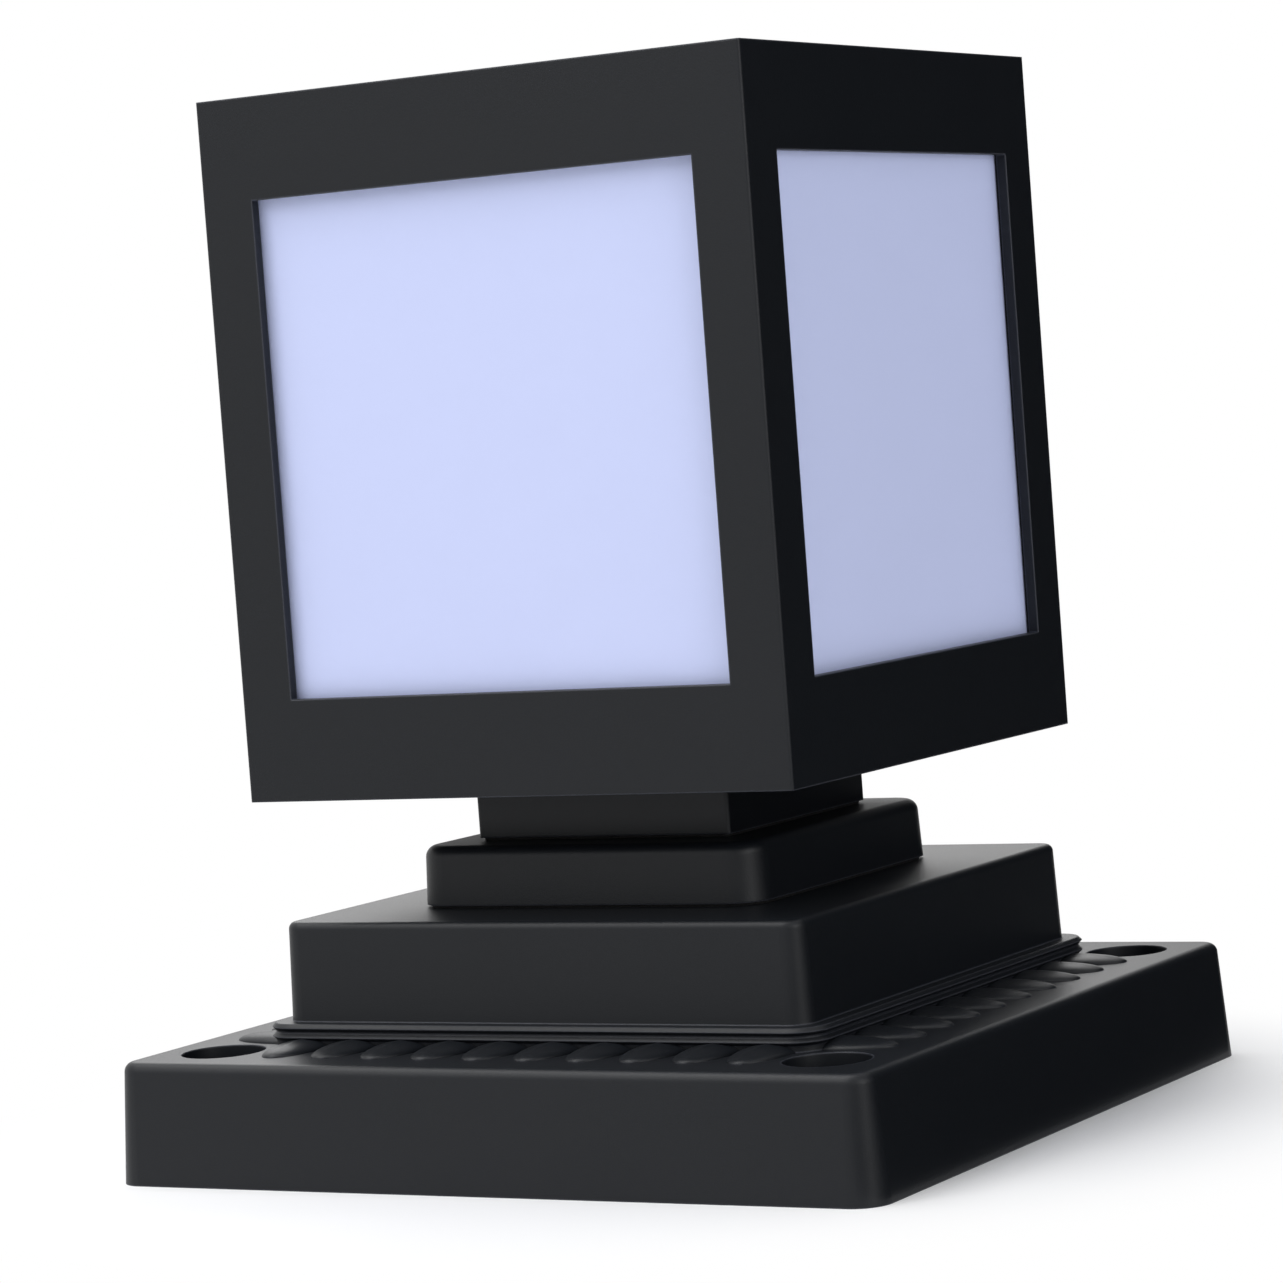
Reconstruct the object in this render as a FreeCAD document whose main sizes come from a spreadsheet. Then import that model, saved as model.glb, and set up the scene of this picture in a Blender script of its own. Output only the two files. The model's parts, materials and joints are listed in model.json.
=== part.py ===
"""Square pillar lantern: a cast stepped base, a collar, a neck and a lantern head with four opal panels.

Millimetres, +Z up. The origin is the centre of the base's underside, which rests on the post or pillar.
A hollow threaded stem clamps base, collar, neck and head together. The wiring space is in the base and
is closed from below. The top cover lies in a rebate of the lantern frame and lifts straight off.
"""
import FreeCAD, Part
import math
import os
import re

import Sketcher

Vector = FreeCAD.Vector
QUARTER_TURN = math.pi / 2

# ---------------------------------------------------------------------------------------------------
# Driving dimensions: (name, value in mm or degrees, what it is)
# ---------------------------------------------------------------------------------------------------
SIZES = [
    ("base_width", 250.0, "square plinth across its foot"),
    ("base_height", 35.5, "foot to ledge"),
    ("base_draft", 3.87, "degrees of lean of the plinth's sides"),
    ("base_corner", 9.0, "radius of the plinth's upright corners"),
    ("base_rim_round", 3.0, "round along the plinth's upper rim"),
    ("wall", 4.0, "wall of the castings"),
    ("tier_width", 174.3, "square second tier where it leaves the ledge"),
    ("tier_top", 71.4, "height of the second tier's roof"),
    ("tier_draft", 1.93, "degrees of lean of the second tier's sides"),
    ("tier_corner", 7.0, "radius of the second tier's upright corners"),
    ("tier_rim_round", 2.2, "round along the second tier's upper rim"),
    ("moulding_reach", 5.15, "moulding, out from the second tier's foot"),
    ("moulding_height", 6.8, "moulding above the ledge"),
    ("moulding_corner", 10.0, "radius of the moulding's upright corners"),
    ("bead_depth", 1.15, "depth of each of the moulding's two beads"),
    ("bead_pitch", 2.75, "between the middles of the two beads"),
    ("petal_count", 10.0, "cast petals along each side of the ledge"),
    ("petal_pitch", 17.15, "between neighbouring petals"),
    ("petal_width", 15.6, "petal where it leaves the moulding"),
    ("petal_length", 18.0, "petal, out from the moulding's core"),
    ("petal_height", 2.2, "crest of a petal above the ledge"),
    ("hole_inset", 25.0, "fixing holes from the plinth's foot, both ways"),
    ("recess_diameter", 25.0, "round recess over each fixing hole"),
    ("recess_floor", 12.0, "height of the floor of each recess"),
    ("bolt_hole", 9.0, "diameter of the fixing holes"),
    ("boss_wall", 3.0, "wall of the fixing bosses"),
    ("rib_thickness", 3.0, "ribs under the ledge"),
    ("rib_foot", 24.0, "height of the ribs' lower edges"),
    ("rib_spacing", 50.0, "between neighbouring ribs"),
    ("compartment_foot", 26.0, "height of the wiring space's lower edge"),
    ("gasket_thickness", 0.8, "flat gaskets, pressed"),
    ("gasket_inset", 1.0, "gaskets kept back from the outline above them"),
    ("gasket_strip", 5.0, "width of the flat gaskets' strip"),
    ("cover_thickness", 2.0, "base cover"),
    ("cover_screw_inset", 11.15, "base cover's screws from the second tier's foot, both ways"),
    ("screw_boss", 11.0, "diameter of the bosses for the base cover's screws"),
    ("collar_width", 115.3, "square collar across its foot"),
    ("collar_height", 17.5, "collar without its gasket"),
    ("collar_draft", 2.6, "degrees of lean of the collar's sides"),
    ("collar_corner", 10.7, "radius of the collar's upright corners"),
    ("collar_rim_round", 3.6, "round along the collar's upper rim"),
    ("neck_width", 85.3, "square neck"),
    ("neck_height", 16.3, "neck tube without its gaskets"),
    ("neck_corner", 1.3, "radius of the neck's corners"),
    ("stem_diameter", 16.0, "hollow threaded stem"),
    ("stem_bore", 11.0, "way for the lead through the stem"),
    ("stem_spare", 3.8, "thread that shows past each nut"),
    ("thread_clearance", 0.1, "radial room in nuts and screw holes"),
    ("hole_clearance", 0.3, "radial room where the stem passes a wall"),
    ("nut_flats", 24.0, "stem nut across its flats"),
    ("nut_height", 8.0, "stem nut"),
    ("washer_diameter", 32.0, "stem washer"),
    ("washer_thickness", 1.6, "stem washer"),
    ("head_width", 180.5, "square lantern frame"),
    ("head_height", 204.4, "lantern frame"),
    ("head_corner", 0.9, "radius of the frame's upright edges"),
    ("head_wall", 3.2, "wall of the frame"),
    ("window_border", 17.25, "opening in each side from the frame's upright edges"),
    ("window_head", 29.8, "upper edge of the openings under the frame's top"),
    ("window_foot", 29.7, "lower edge of the openings above the frame's foot"),
    ("column_gap", 0.55, "between the panels' upright edges and the frame's corner columns"),
    ("shelf_thickness", 3.0, "inner shelves of the frame"),
    ("shelf_width", 7.0, "inner shelves of the frame, out from the wall"),
    ("floor_thickness", 4.0, "head floor plate"),
    ("plate_clearance", 0.5, "gap round the plates that lie in the frame"),
    ("corner_screw_inset", 9.55, "corner screws of floor and top from the frame's inside, both ways"),
    ("corner_boss", 9.6, "diameter of the corner screw bosses"),
    ("corner_boss_length", 14.0, "corner screw bosses"),
    ("corner_screw", 4.0, "shank of the corner screws"),
    ("corner_screw_head", 8.0, "countersunk head of the corner screws"),
    ("corner_screw_length", 14.0, "corner screws under the head's face"),
    ("panel_thickness", 3.0, "opal panels"),
    ("panel_overlap", 6.0, "panel behind the edge of its opening"),
    ("seal_thickness", 1.0, "gasket ring behind each opening"),
    ("seal_reveal", 1.0, "gasket ring kept back from the opening's edge"),
    ("clamp_thickness", 1.5, "corner clamps"),
    ("clamp_reach", 9.0, "clamp's leg along each panel"),
    ("clamp_clearance", 0.3, "between clamp and column"),
    ("clamp_screw", 3.0, "shank of the clamp screws"),
    ("clamp_screw_head", 4.6, "head of the clamp screws"),
    ("clamp_screw_length", 7.0, "clamp screws under the head"),
    ("clamp_screw_inset", 20.0, "clamp screws from the clamps' ends"),
    ("lid_thickness", 3.2, "top cover"),
    ("lid_gasket_strip", 5.0, "width of the top cover's gasket"),
    ("reflector_gap", 7.05, "between the reflector's flange and the frame's upper shelf"),
    ("reflector_flange", 13.0, "width of the reflector's flange"),
    ("reflector_depth", 40.0, "reflector below its flange"),
    ("reflector_tip", 12.0, "flat at the reflector's tip"),
    ("reflector_wall", 1.5, "reflector's wall"),
    ("reflector_boss", 8.0, "diameter of the bosses under the top cover"),
    ("reflector_boss_drop", 3.0, "bosses under the top cover"),
    ("small_screw", 3.0, "shank of the small screws"),
    ("small_screw_head", 6.0, "head of the small screws"),
    ("small_head_height", 2.0, "head of the small screws"),
    ("small_screw_length", 6.0, "small screws under the head"),
    ("pedestal_core", 50.0, "pedestal's round core"),
    ("pedestal_core_wall", 5.0, "pedestal's round core"),
    ("pedestal_height", 38.0, "pedestal under its table"),
    ("pedestal_foot", 3.0, "thickness of the pedestal's foot"),
    ("pedestal_screw_spacing", 50.0, "between the pedestal's screws, both ways"),
    ("table_diameter", 92.0, "pedestal's table"),
    ("table_thickness", 5.0, "pedestal's table"),
    ("fin_count", 20.0, "fins round the pedestal"),
    ("fin_thickness", 1.8, "fins round the pedestal"),
    ("board_gap", 3.0, "between the LED board and the clear cover's wall"),
    ("board_thickness", 1.6, "LED board"),
    ("board_screw_inset", 5.35, "LED board's screws from its edge"),
    ("chip_side", 3.0, "LED packages"),
    ("chip_height", 0.8, "LED packages"),
    ("chip_count", 12.0, "LED packages in each ring"),
    ("board_eye", 3.0, "solder hole in the LED board"),
    ("chip_ring", 56.0, "diameter of the outer ring of LED packages"),
    ("chip_inner_ring", 30.0, "diameter of the inner ring of LED packages"),
    ("lens_inset", 1.0, "clear cover from the edge of the pedestal's table"),
    ("lens_height", 10.0, "clear cover over the board"),
    ("lens_wall", 2.0, "clear cover over the board"),
    ("lens_round", 5.0, "round along the clear cover's upper edge"),
    ("driver_length", 86.0, "LED driver"),
    ("driver_width", 56.0, "LED driver"),
    ("driver_height", 22.0, "LED driver"),
    ("driver_offset", 20.0, "driver's centre, along X"),
    ("driver_lug", 8.0, "driver's mounting lugs, out from its ends"),
    ("driver_lug_height", 3.0, "driver's mounting lugs"),
    ("terminal_length", 40.0, "terminal block"),
    ("terminal_width", 22.0, "terminal block"),
    ("terminal_height", 18.0, "terminal block"),
    ("terminal_x", -55.0, "terminal block's centre"),
    ("terminal_y", 55.0, "terminal block's centre"),
    ("terminal_pitch", 12.0, "between the poles of the terminal block"),
    ("lead_diameter", 5.0, "lead from the driver to the LED board"),
    ("feed_diameter", 3.0, "lead from the terminal block to the driver"),
    ("feed_height", 9.0, "that lead above the base cover"),
    ("feed_x", -8.0, "where that lead enters the driver"),
    ("feed_bend", 12.0, "bend of that lead"),
    ("earth_x", 0.0, "earth screw"),
    ("earth_y", -56.0, "earth screw"),
    ("earth_boss", 12.0, "earth screw's boss under the roof"),
    ("gland_x", -57.0, "cable gland's centre"),
    ("gland_thread", 20.0, "gland's thread"),
    ("gland_bore", 10.0, "way for the cable through the gland"),
    ("gland_flats", 24.0, "gland's hexagons across their flats"),
    ("gland_collar", 5.0, "gland's hexagon under the base cover"),
    ("gland_inner_length", 9.0, "gland's thread above the base cover"),
    ("locknut_height", 5.0, "gland's lock nut"),
    ("dome_length", 14.0, "gland's dome nut"),
    ("dome_mouth", 13.0, "opening in the dome nut's end"),
    ("seal_wall", 1.6, "gland's rubber seal"),
]

doc = FreeCAD.newDocument("PillarLantern")
sheet = doc.addObject("Spreadsheet::Sheet", "Sizes")
for row, (name, number, note) in enumerate(SIZES, start=1):
    sheet.set(f"A{row}", name)
    sheet.set(f"B{row}", str(number))
    sheet.set(f"C{row}", note)
    sheet.setAlias(f"B{row}", name)
doc.recompute()

ALIASES = {name for name, number, note in SIZES}

# Heights and half widths that follow from the driving dimensions, as expressions
LEDGE_INSIDE = "(base_height - wall)"
ROOF_INSIDE = "(tier_top - wall)"
COVER_TOP = "(compartment_foot - gasket_thickness)"
COVER_FOOT = f"({COVER_TOP} - cover_thickness)"
COLLAR_FOOT = "(tier_top + gasket_thickness)"
COLLAR_TOP = f"({COLLAR_FOOT} + collar_height)"
NECK_FOOT = f"({COLLAR_TOP} + gasket_thickness)"
NECK_TOP = f"({NECK_FOOT} + neck_height)"
HEAD_FOOT = f"({NECK_TOP} + gasket_thickness)"
HEAD_TOP = f"({HEAD_FOOT} + head_height)"
FLOOR_TOP = f"({HEAD_FOOT} + floor_thickness)"
HEAD_INSIDE = "(head_width / 2 - head_wall)"
SHELF_INSIDE = f"({HEAD_INSIDE} - shelf_width)"
WINDOW_FOOT = f"({HEAD_FOOT} + window_foot)"
WINDOW_TOP = f"({HEAD_TOP} - window_head)"
WINDOW_HALF = "(head_width / 2 - window_border)"
PANEL_FOOT = f"({WINDOW_FOOT} - panel_overlap)"
PANEL_TOP = f"({WINDOW_TOP} + panel_overlap)"
PANEL_FACE = f"({HEAD_INSIDE} - seal_thickness)"
PANEL_BACK = f"({PANEL_FACE} - panel_thickness)"
PANEL_HALF = f"({WINDOW_HALF} + panel_overlap)"
COLUMN_FACE = f"({PANEL_HALF} + column_gap)"
LID_FOOT = f"({HEAD_TOP} - lid_thickness)"
LID_SHELF = f"({LID_FOOT} - gasket_thickness)"
REFLECTOR_TOP = f"({LID_FOOT} - reflector_boss_drop)"
PEDESTAL_TOP = f"({FLOOR_TOP} + pedestal_height)"
TABLE_TOP = f"({PEDESTAL_TOP} + table_thickness)"
BOARD_TOP = f"({TABLE_TOP} + board_thickness)"
LENS_RADIUS = "(table_diameter / 2 - lens_inset)"
BOARD_RADIUS = f"({LENS_RADIUS} - lens_wall - board_gap)"
MOULDING_CORE = "(tier_width / 2 + moulding_reach - bead_depth)"
STEM_HOLE = "(stem_diameter / 2 + hole_clearance)"

# Places of holes and screws, each the same distance from the middle along X and Y
FIXING_HOLE = "(base_width / 2 - hole_inset)"
COVER_SCREW = "(tier_width / 2 - cover_screw_inset)"
CORNER_SCREW = f"({HEAD_INSIDE} - corner_screw_inset)"
BOARD_SCREW = f"(({BOARD_RADIUS} - board_screw_inset) / sqrt(2))"
REFLECTOR_HALF = f"({SHELF_INSIDE} - reflector_gap)"
REFLECTOR_SCREW = f"({REFLECTOR_HALF} - reflector_flange / 2)"
CLAMP_FACE = f"(({COLUMN_FACE} - clamp_clearance - clamp_thickness) * sqrt(2))"
CLAMP_HOLE = "(clamp_screw / 2 + thread_clearance)"
CLAMP_SCREW_HEIGHTS = (f"{PANEL_FOOT} + clamp_screw_inset", f"{PANEL_TOP} - clamp_screw_inset")


def cells(expression):
    """Writes the sheet's name before each of its cells in an expression."""
    def full(match):
        return f"Sizes.{match.group(0)}" if match.group(0) in ALIASES else match.group(0)
    return re.sub(r"[a-z][a-z_]+", full, str(expression))


def value(expression):
    """The number that an expression has now."""
    return float(sheet.evalExpression(cells(expression).replace("Sizes.", "")))


def bind(target, name, expression):
    """Ties one property, or one constraint, to the sheet."""
    target.setExpression(name, cells(expression))


# ---------------------------------------------------------------------------------------------------
# Sketch helpers
# ---------------------------------------------------------------------------------------------------
def new_body(label):
    body = doc.addObject("PartDesign::Body", label)
    body.Label = label
    return body


def origin_item(body, role):
    return next(item for item in body.Origin.OriginFeatures if item.Role == role)


def new_sketch(body, role="XY_Plane", across="0", up="0", out="0"):
    """A sketch on one of the body's own planes, moved along the plane's two axes and its normal."""
    sketch = body.newObject("Sketcher::SketchObject", f"{body.Label}_sketch")
    sketch.AttachmentSupport = (origin_item(body, role), [""])
    sketch.MapMode = "FlatFace"
    for axis, expression in (("x", across), ("y", up), ("z", out)):
        if expression != "0":
            bind(sketch, f"AttachmentOffset.Base.{axis}", expression)
    return sketch


def hold(sketch, kind, *reference, expression):
    """Adds a measured constraint and ties it to the sheet."""
    index = sketch.addConstraint(Sketcher.Constraint(kind, *reference, value(expression)))
    bind(sketch, f"Constraints[{index}]", expression)


def place_point(sketch, item, end, x, y):
    hold(sketch, "DistanceX", -1, 1, item, end, expression=x)
    hold(sketch, "DistanceY", -1, 1, item, end, expression=y)


def outline(sketch, points):
    """A closed outline of straight lines through the points."""
    spots = [Vector(value(x), value(y), 0) for x, y in points]
    lines = [sketch.addGeometry(Part.LineSegment(a, b), False)
             for a, b in zip(spots, spots[1:] + spots[:1])]
    for line, following in zip(lines, lines[1:] + lines[:1]):
        sketch.addConstraint(Sketcher.Constraint("Coincident", line, 2, following, 1))
    for line, (x, y) in zip(lines, points):
        place_point(sketch, line, 1, x, y)


def rectangle(sketch, low_x, high_x, low_y, high_y):
    outline(sketch, [(low_x, low_y), (high_x, low_y), (high_x, high_y), (low_x, high_y)])


def square(sketch, half):
    """A square about the sketch's origin with sharp corners."""
    rectangle(sketch, f"-{half}", half, f"-{half}", half)


def rounded_square(sketch, half, radius):
    """A square about the sketch's origin with a quarter round at each corner."""
    reach = value(half)
    small = value(radius)
    inner = reach - small
    square = [((inner, -reach), (-inner, -reach)), ((-reach, -inner), (-reach, inner)),
              ((-inner, reach), (inner, reach)), ((reach, inner), (reach, -inner))]
    turns = [((-inner, -inner), 2), ((-inner, inner), 1), ((inner, inner), 0), ((inner, -inner), 3)]
    lines = [sketch.addGeometry(Part.LineSegment(Vector(*a, 0), Vector(*b, 0)), False)
             for a, b in square]
    arcs = []
    for centre, first in turns:
        corner = Part.Circle(Vector(*centre, 0), Vector(0, 0, 1), small)
        arcs.append(sketch.addGeometry(
            Part.ArcOfCircle(corner, first * QUARTER_TURN, (first + 1) * QUARTER_TURN), False))
    for index in range(4):
        line = lines[index]
        arc = arcs[index]
        following = lines[(index + 1) % 4]
        sketch.addConstraint(Sketcher.Constraint("Tangent", line, 2, arc, 2))
        sketch.addConstraint(Sketcher.Constraint("Tangent", arc, 1, following, 1))
        direction = "Vertical" if index % 2 else "Horizontal"
        sketch.addConstraint(Sketcher.Constraint(direction, line))
    for arc in arcs[1:]:
        sketch.addConstraint(Sketcher.Constraint("Equal", arcs[0], arc))
    hold(sketch, "Radius", arcs[0], expression=radius)
    hold(sketch, "DistanceY", -1, 1, lines[0], 1, expression=f"-({half})")
    hold(sketch, "DistanceX", -1, 1, lines[1], 1, expression=f"-({half})")
    hold(sketch, "DistanceY", -1, 1, lines[2], 1, expression=half)
    hold(sketch, "DistanceX", -1, 1, lines[3], 1, expression=half)


def circle(sketch, x, y, radius):
    ring = Part.Circle(Vector(value(x), value(y), 0), Vector(0, 0, 1), value(radius))
    index = sketch.addGeometry(ring, False)
    hold(sketch, "Radius", index, expression=radius)
    place_point(sketch, index, 3, x, y)


def hexagon(sketch, x, y, flats):
    """A hexagon with two sides along X, drawn from its width across the flats."""
    corner = f"({flats}) / sqrt(3)"
    points = []
    for share_x, share_y in ((1, 0), (0.5, 1), (-0.5, 1), (-1, 0), (-0.5, -1), (0.5, -1)):
        points.append((f"{x} + {share_x} * {corner}", f"{y} + {share_y} * ({flats}) / 2"))
    outline(sketch, points)


def four_corners(reach):
    return [(reach, reach), (f"-({reach})", reach), (f"-({reach})", f"-({reach})"), (reach, f"-({reach})")]


# ---------------------------------------------------------------------------------------------------
# Feature helpers
# ---------------------------------------------------------------------------------------------------
def pad(body, sketch, length, draft="0"):
    feature = body.newObject("PartDesign::Pad", f"{body.Label}_pad")
    feature.Profile = sketch
    bind(feature, "Length", length)
    if draft != "0":
        bind(feature, "TaperAngle", f"-({draft})")
    body.Tip = feature
    doc.recompute()
    return feature


def pocket(body, sketch, length, upwards=False, draft="0", through=False):
    feature = body.newObject("PartDesign::Pocket", f"{body.Label}_pocket")
    feature.Profile = sketch
    feature.Reversed = upwards
    if through:
        feature.Type = 1
        feature.SideType = "Symmetric"
    else:
        bind(feature, "Length", length)
    if draft != "0":
        bind(feature, "TaperAngle", f"-({draft})")
    body.Tip = feature
    doc.recompute()
    return feature


def revolve(body, sketch, axis="V_Axis", cut=False):
    kind = "PartDesign::Groove" if cut else "PartDesign::Revolution"
    feature = body.newObject(kind, f"{body.Label}_turned")
    feature.Profile = sketch
    feature.ReferenceAxis = (sketch, [axis])
    feature.Angle = 360
    body.Tip = feature
    doc.recompute()
    return feature


def around(body, features, count="4"):
    """Repeats features round the upright axis."""
    feature = body.newObject("PartDesign::PolarPattern", f"{body.Label}_around")
    feature.Originals = features
    feature.Axis = (origin_item(body, "Z_Axis"), [""])
    feature.Angle = 360
    bind(feature, "Occurrences", count)
    body.Tip = feature
    doc.recompute()
    return feature


def round_edges(body, radius, wanted):
    """Rounds the tip's edges that the test picks by their ends."""
    base = body.Tip
    names = []
    for index, edge in enumerate(base.Shape.Edges, start=1):
        ends = [vertex.Point for vertex in edge.Vertexes]
        if wanted(ends):
            names.append(f"Edge{index}")
    feature = body.newObject("PartDesign::Fillet", f"{body.Label}_round")
    feature.Base = (base, names)
    bind(feature, "Radius", radius)
    body.Tip = feature
    doc.recompute()
    return feature


def at_height(height, beyond=0.0):
    """A test for edges that lie level at one height and further out than a given distance."""
    level = value(height)

    def test(ends):
        level_ends = all(abs(point.z - level) < 0.01 for point in ends)
        return level_ends and all(max(abs(point.x), abs(point.y)) > beyond for point in ends)
    return test


def flat_piece(label, foot, thickness, *shapes):
    """A piece of one thickness whose outline is drawn by the given steps."""
    body = new_body(label)
    sketch = new_sketch(body, out=foot)
    for draw, *arguments in shapes:
        draw(sketch, *arguments)
    pad(body, sketch, thickness)
    return body


def square_ring(label, foot, thickness, half, corner, strip):
    """A flat square ring, such as a gasket."""
    inner = f"max({corner} - {strip}; 0.5)"
    return flat_piece(label, foot, thickness, (rounded_square, half, corner),
                      (rounded_square, f"({half}) - {strip}", inner))


def screw_profile(sketch, top, shank, head, head_height, length):
    """Half section of a cheese-head screw that hangs from its head's top."""
    under = f"({top}) - {head_height}"
    outline(sketch, [("0", top), ("0", f"{under} - {length}"), (f"{shank} / 2", f"{under} - {length}"),
                     (f"{shank} / 2", under), (f"{head} / 2", under), (f"{head} / 2", top)])


def rising_profile(sketch, foot, shank, head, head_height, length):
    """Half section of a cheese-head screw that stands on its head."""
    over = f"({foot}) + {head_height}"
    outline(sketch, [("0", foot), (f"{head} / 2", foot), (f"{head} / 2", over), (f"{shank} / 2", over),
                     (f"{shank} / 2", f"{over} + {length}"), ("0", f"{over} + {length}")])


def screws_at_corners(label, reach, draw, *arguments):
    """Four screws at the corners of a square."""
    body = new_body(label)
    sketch = new_sketch(body, "XZ_Plane", across=reach, out=f"-({reach})")
    draw(sketch, *arguments)
    around(body, [revolve(body, sketch)])
    return body


# ---------------------------------------------------------------------------------------------------
# Base
# ---------------------------------------------------------------------------------------------------
def bead(body, height):
    """A bead of V section round the moulding's core, with its edge at the given height."""
    corner = "moulding_corner - bead_depth"
    lower = new_sketch(body, out=f"{height} - bead_depth")
    rounded_square(lower, MOULDING_CORE, corner)
    pad(body, lower, "bead_depth", "-45")
    upper = new_sketch(body, out=height)
    rounded_square(upper, f"{MOULDING_CORE} + bead_depth", f"{corner} + bead_depth")
    pad(body, upper, "bead_depth", "45")


# A petal's sections: share of its length, of its width and of its height
PETAL_SECTIONS = ((0.0, 1.0, 1.0), (0.5, 0.9, 0.8), (0.85, 0.5, 0.45), (1.0, 0.1, 0.1))
# Half section of a petal from its edge to its crest: share of the section's half width, of its height
PETAL_ARCH = ((1.0, 0.0), (0.6, 0.6), (0.0, 1.0))


def petal(body, place):
    """One cast petal on the ledge: an arched ridge that leaves the moulding and runs out in a tip."""
    sketches = []
    root = "0.3 * petal_height"  # each section starts this far below the ledge, inside the casting
    for along, across, rise in PETAL_SECTIONS:
        section = new_sketch(body, "YZ_Plane", across=place, up=f"base_height - {root}",
                             out=f"{MOULDING_CORE} + {along} * petal_length")
        half = f"{across} * petal_width / 2"
        height = f"{rise} * petal_height + {root}"
        right = [(f"{share} * {half}", f"{lift} * {height}") for share, lift in PETAL_ARCH]
        left = [(f"-{x}", y) for x, y in reversed(right[:-1])]
        outline(section, right + left)
        sketches.append(section)
    feature = body.newObject("PartDesign::AdditiveLoft", "petal")
    feature.Profile = sketches[0]
    feature.Sections = sketches[1:]
    feature.Ruled = True
    body.Tip = feature
    doc.recompute()
    return feature


def petal_border(body):
    """A row of petals along one side of the ledge, repeated round the upright axis."""
    first = petal(body, "(1 - petal_count) * petal_pitch / 2")
    border = body.newObject("PartDesign::MultiTransform", "petal_border")
    border.Originals = [first]
    row = body.newObject("PartDesign::LinearPattern", "petal_row")
    row.Direction = (origin_item(body, "Y_Axis"), [""])
    bind(row, "Length", "(petal_count - 1) * petal_pitch")
    bind(row, "Occurrences", "petal_count")
    sides = body.newObject("PartDesign::PolarPattern", "petal_sides")
    sides.Axis = (origin_item(body, "Z_Axis"), [""])
    sides.Angle = 360
    sides.Occurrences = 4
    border.Transformations = [row, sides]
    body.Tip = border
    doc.recompute()


def base_housing():
    """The stepped casting: plinth, moulding and second tier, hollow from below."""
    body = new_body("base_housing")
    plinth = new_sketch(body)
    rounded_square(plinth, "base_width / 2", "base_corner")
    pad(body, plinth, "base_height", "base_draft")
    round_edges(body, "base_rim_round", at_height("base_height"))

    tier = new_sketch(body, out="base_height")
    rounded_square(tier, "tier_width / 2", "tier_corner")
    pad(body, tier, "tier_top - base_height", "tier_draft")
    round_edges(body, "tier_rim_round", at_height("tier_top"))

    core = new_sketch(body, out="base_height")
    rounded_square(core, MOULDING_CORE, "moulding_corner - bead_depth")
    pad(body, core, "moulding_height")
    upper_bead = "base_height + moulding_height - bead_depth"
    bead(body, upper_bead)
    bead(body, f"{upper_bead} - bead_pitch")

    # Hollow from below, up to the ledge
    hollow = new_sketch(body)
    rounded_square(hollow, "base_width / 2 - wall", "base_corner - wall")
    pocket(body, hollow, LEDGE_INSIDE, upwards=True, draft="base_draft")

    # Rim of the wiring space, fixing bosses and ribs under the ledge
    rim = new_sketch(body, out="compartment_foot")
    rounded_square(rim, "tier_width / 2", "tier_corner")
    pad(body, rim, f"{LEDGE_INSIDE} - compartment_foot")
    bosses = new_sketch(body)
    for x, y in four_corners(FIXING_HOLE):
        circle(bosses, x, y, "recess_diameter / 2 + boss_wall")
    pad(body, bosses, LEDGE_INSIDE)
    for step in (-1, 0, 1):
        rib = new_sketch(body, out="rib_foot")
        rectangle(rib, "tier_width / 2", "base_width / 2 - wall - rib_thickness / 2",
                  f"{step} * rib_spacing - rib_thickness / 2", f"{step} * rib_spacing + rib_thickness / 2")
        around(body, [pad(body, rib, f"{LEDGE_INSIDE} - rib_foot")])
    for along_x in (True, False):
        rib = new_sketch(body, out="rib_foot")
        reach = (FIXING_HOLE, "base_width / 2 - wall - rib_thickness / 2")
        side = (f"{FIXING_HOLE} - rib_thickness / 2", f"{FIXING_HOLE} + rib_thickness / 2")
        rectangle(rib, *(reach + side if along_x else side + reach))
        around(body, [pad(body, rib, f"{LEDGE_INSIDE} - rib_foot")])

    # Wiring space inside the second tier, with the bosses of its cover's screws
    space = new_sketch(body, out="compartment_foot")
    rounded_square(space, "tier_width / 2 - wall", "tier_corner - wall")
    pocket(body, space, f"{ROOF_INSIDE} - compartment_foot", upwards=True, draft="tier_draft / 2")
    posts = new_sketch(body, out="compartment_foot")
    for x, y in four_corners(COVER_SCREW):
        circle(posts, x, y, "screw_boss / 2")
    pad(body, posts, f"{ROOF_INSIDE} - compartment_foot")
    tapped = new_sketch(body, out="compartment_foot")
    for x, y in four_corners(COVER_SCREW):
        circle(tapped, x, y, "small_screw / 2 + thread_clearance")
    pocket(body, tapped, "small_screw_length", upwards=True)
    earth_foot = f"({ROOF_INSIDE} - earth_boss)"
    earth = new_sketch(body, out=earth_foot)
    circle(earth, "earth_x", "earth_y", "screw_boss / 2")
    pad(body, earth, "earth_boss")
    earth_hole = new_sketch(body, out=earth_foot)
    circle(earth_hole, "earth_x", "earth_y", "small_screw / 2 + thread_clearance")
    pocket(body, earth_hole, "small_screw_length", upwards=True)

    # Round recesses, fixing holes and the stem's hole
    recesses = new_sketch(body, out="base_height")
    holes = new_sketch(body)
    for x, y in four_corners(FIXING_HOLE):
        circle(recesses, x, y, "recess_diameter / 2")
        circle(holes, x, y, "bolt_hole / 2")
    pocket(body, recesses, "base_height - recess_floor")
    pocket(body, holes, "recess_floor", upwards=True)
    stem_hole = new_sketch(body, out="tier_top")
    circle(stem_hole, "0", "0", STEM_HOLE)
    pocket(body, stem_hole, "wall")
    petal_border(body)


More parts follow.
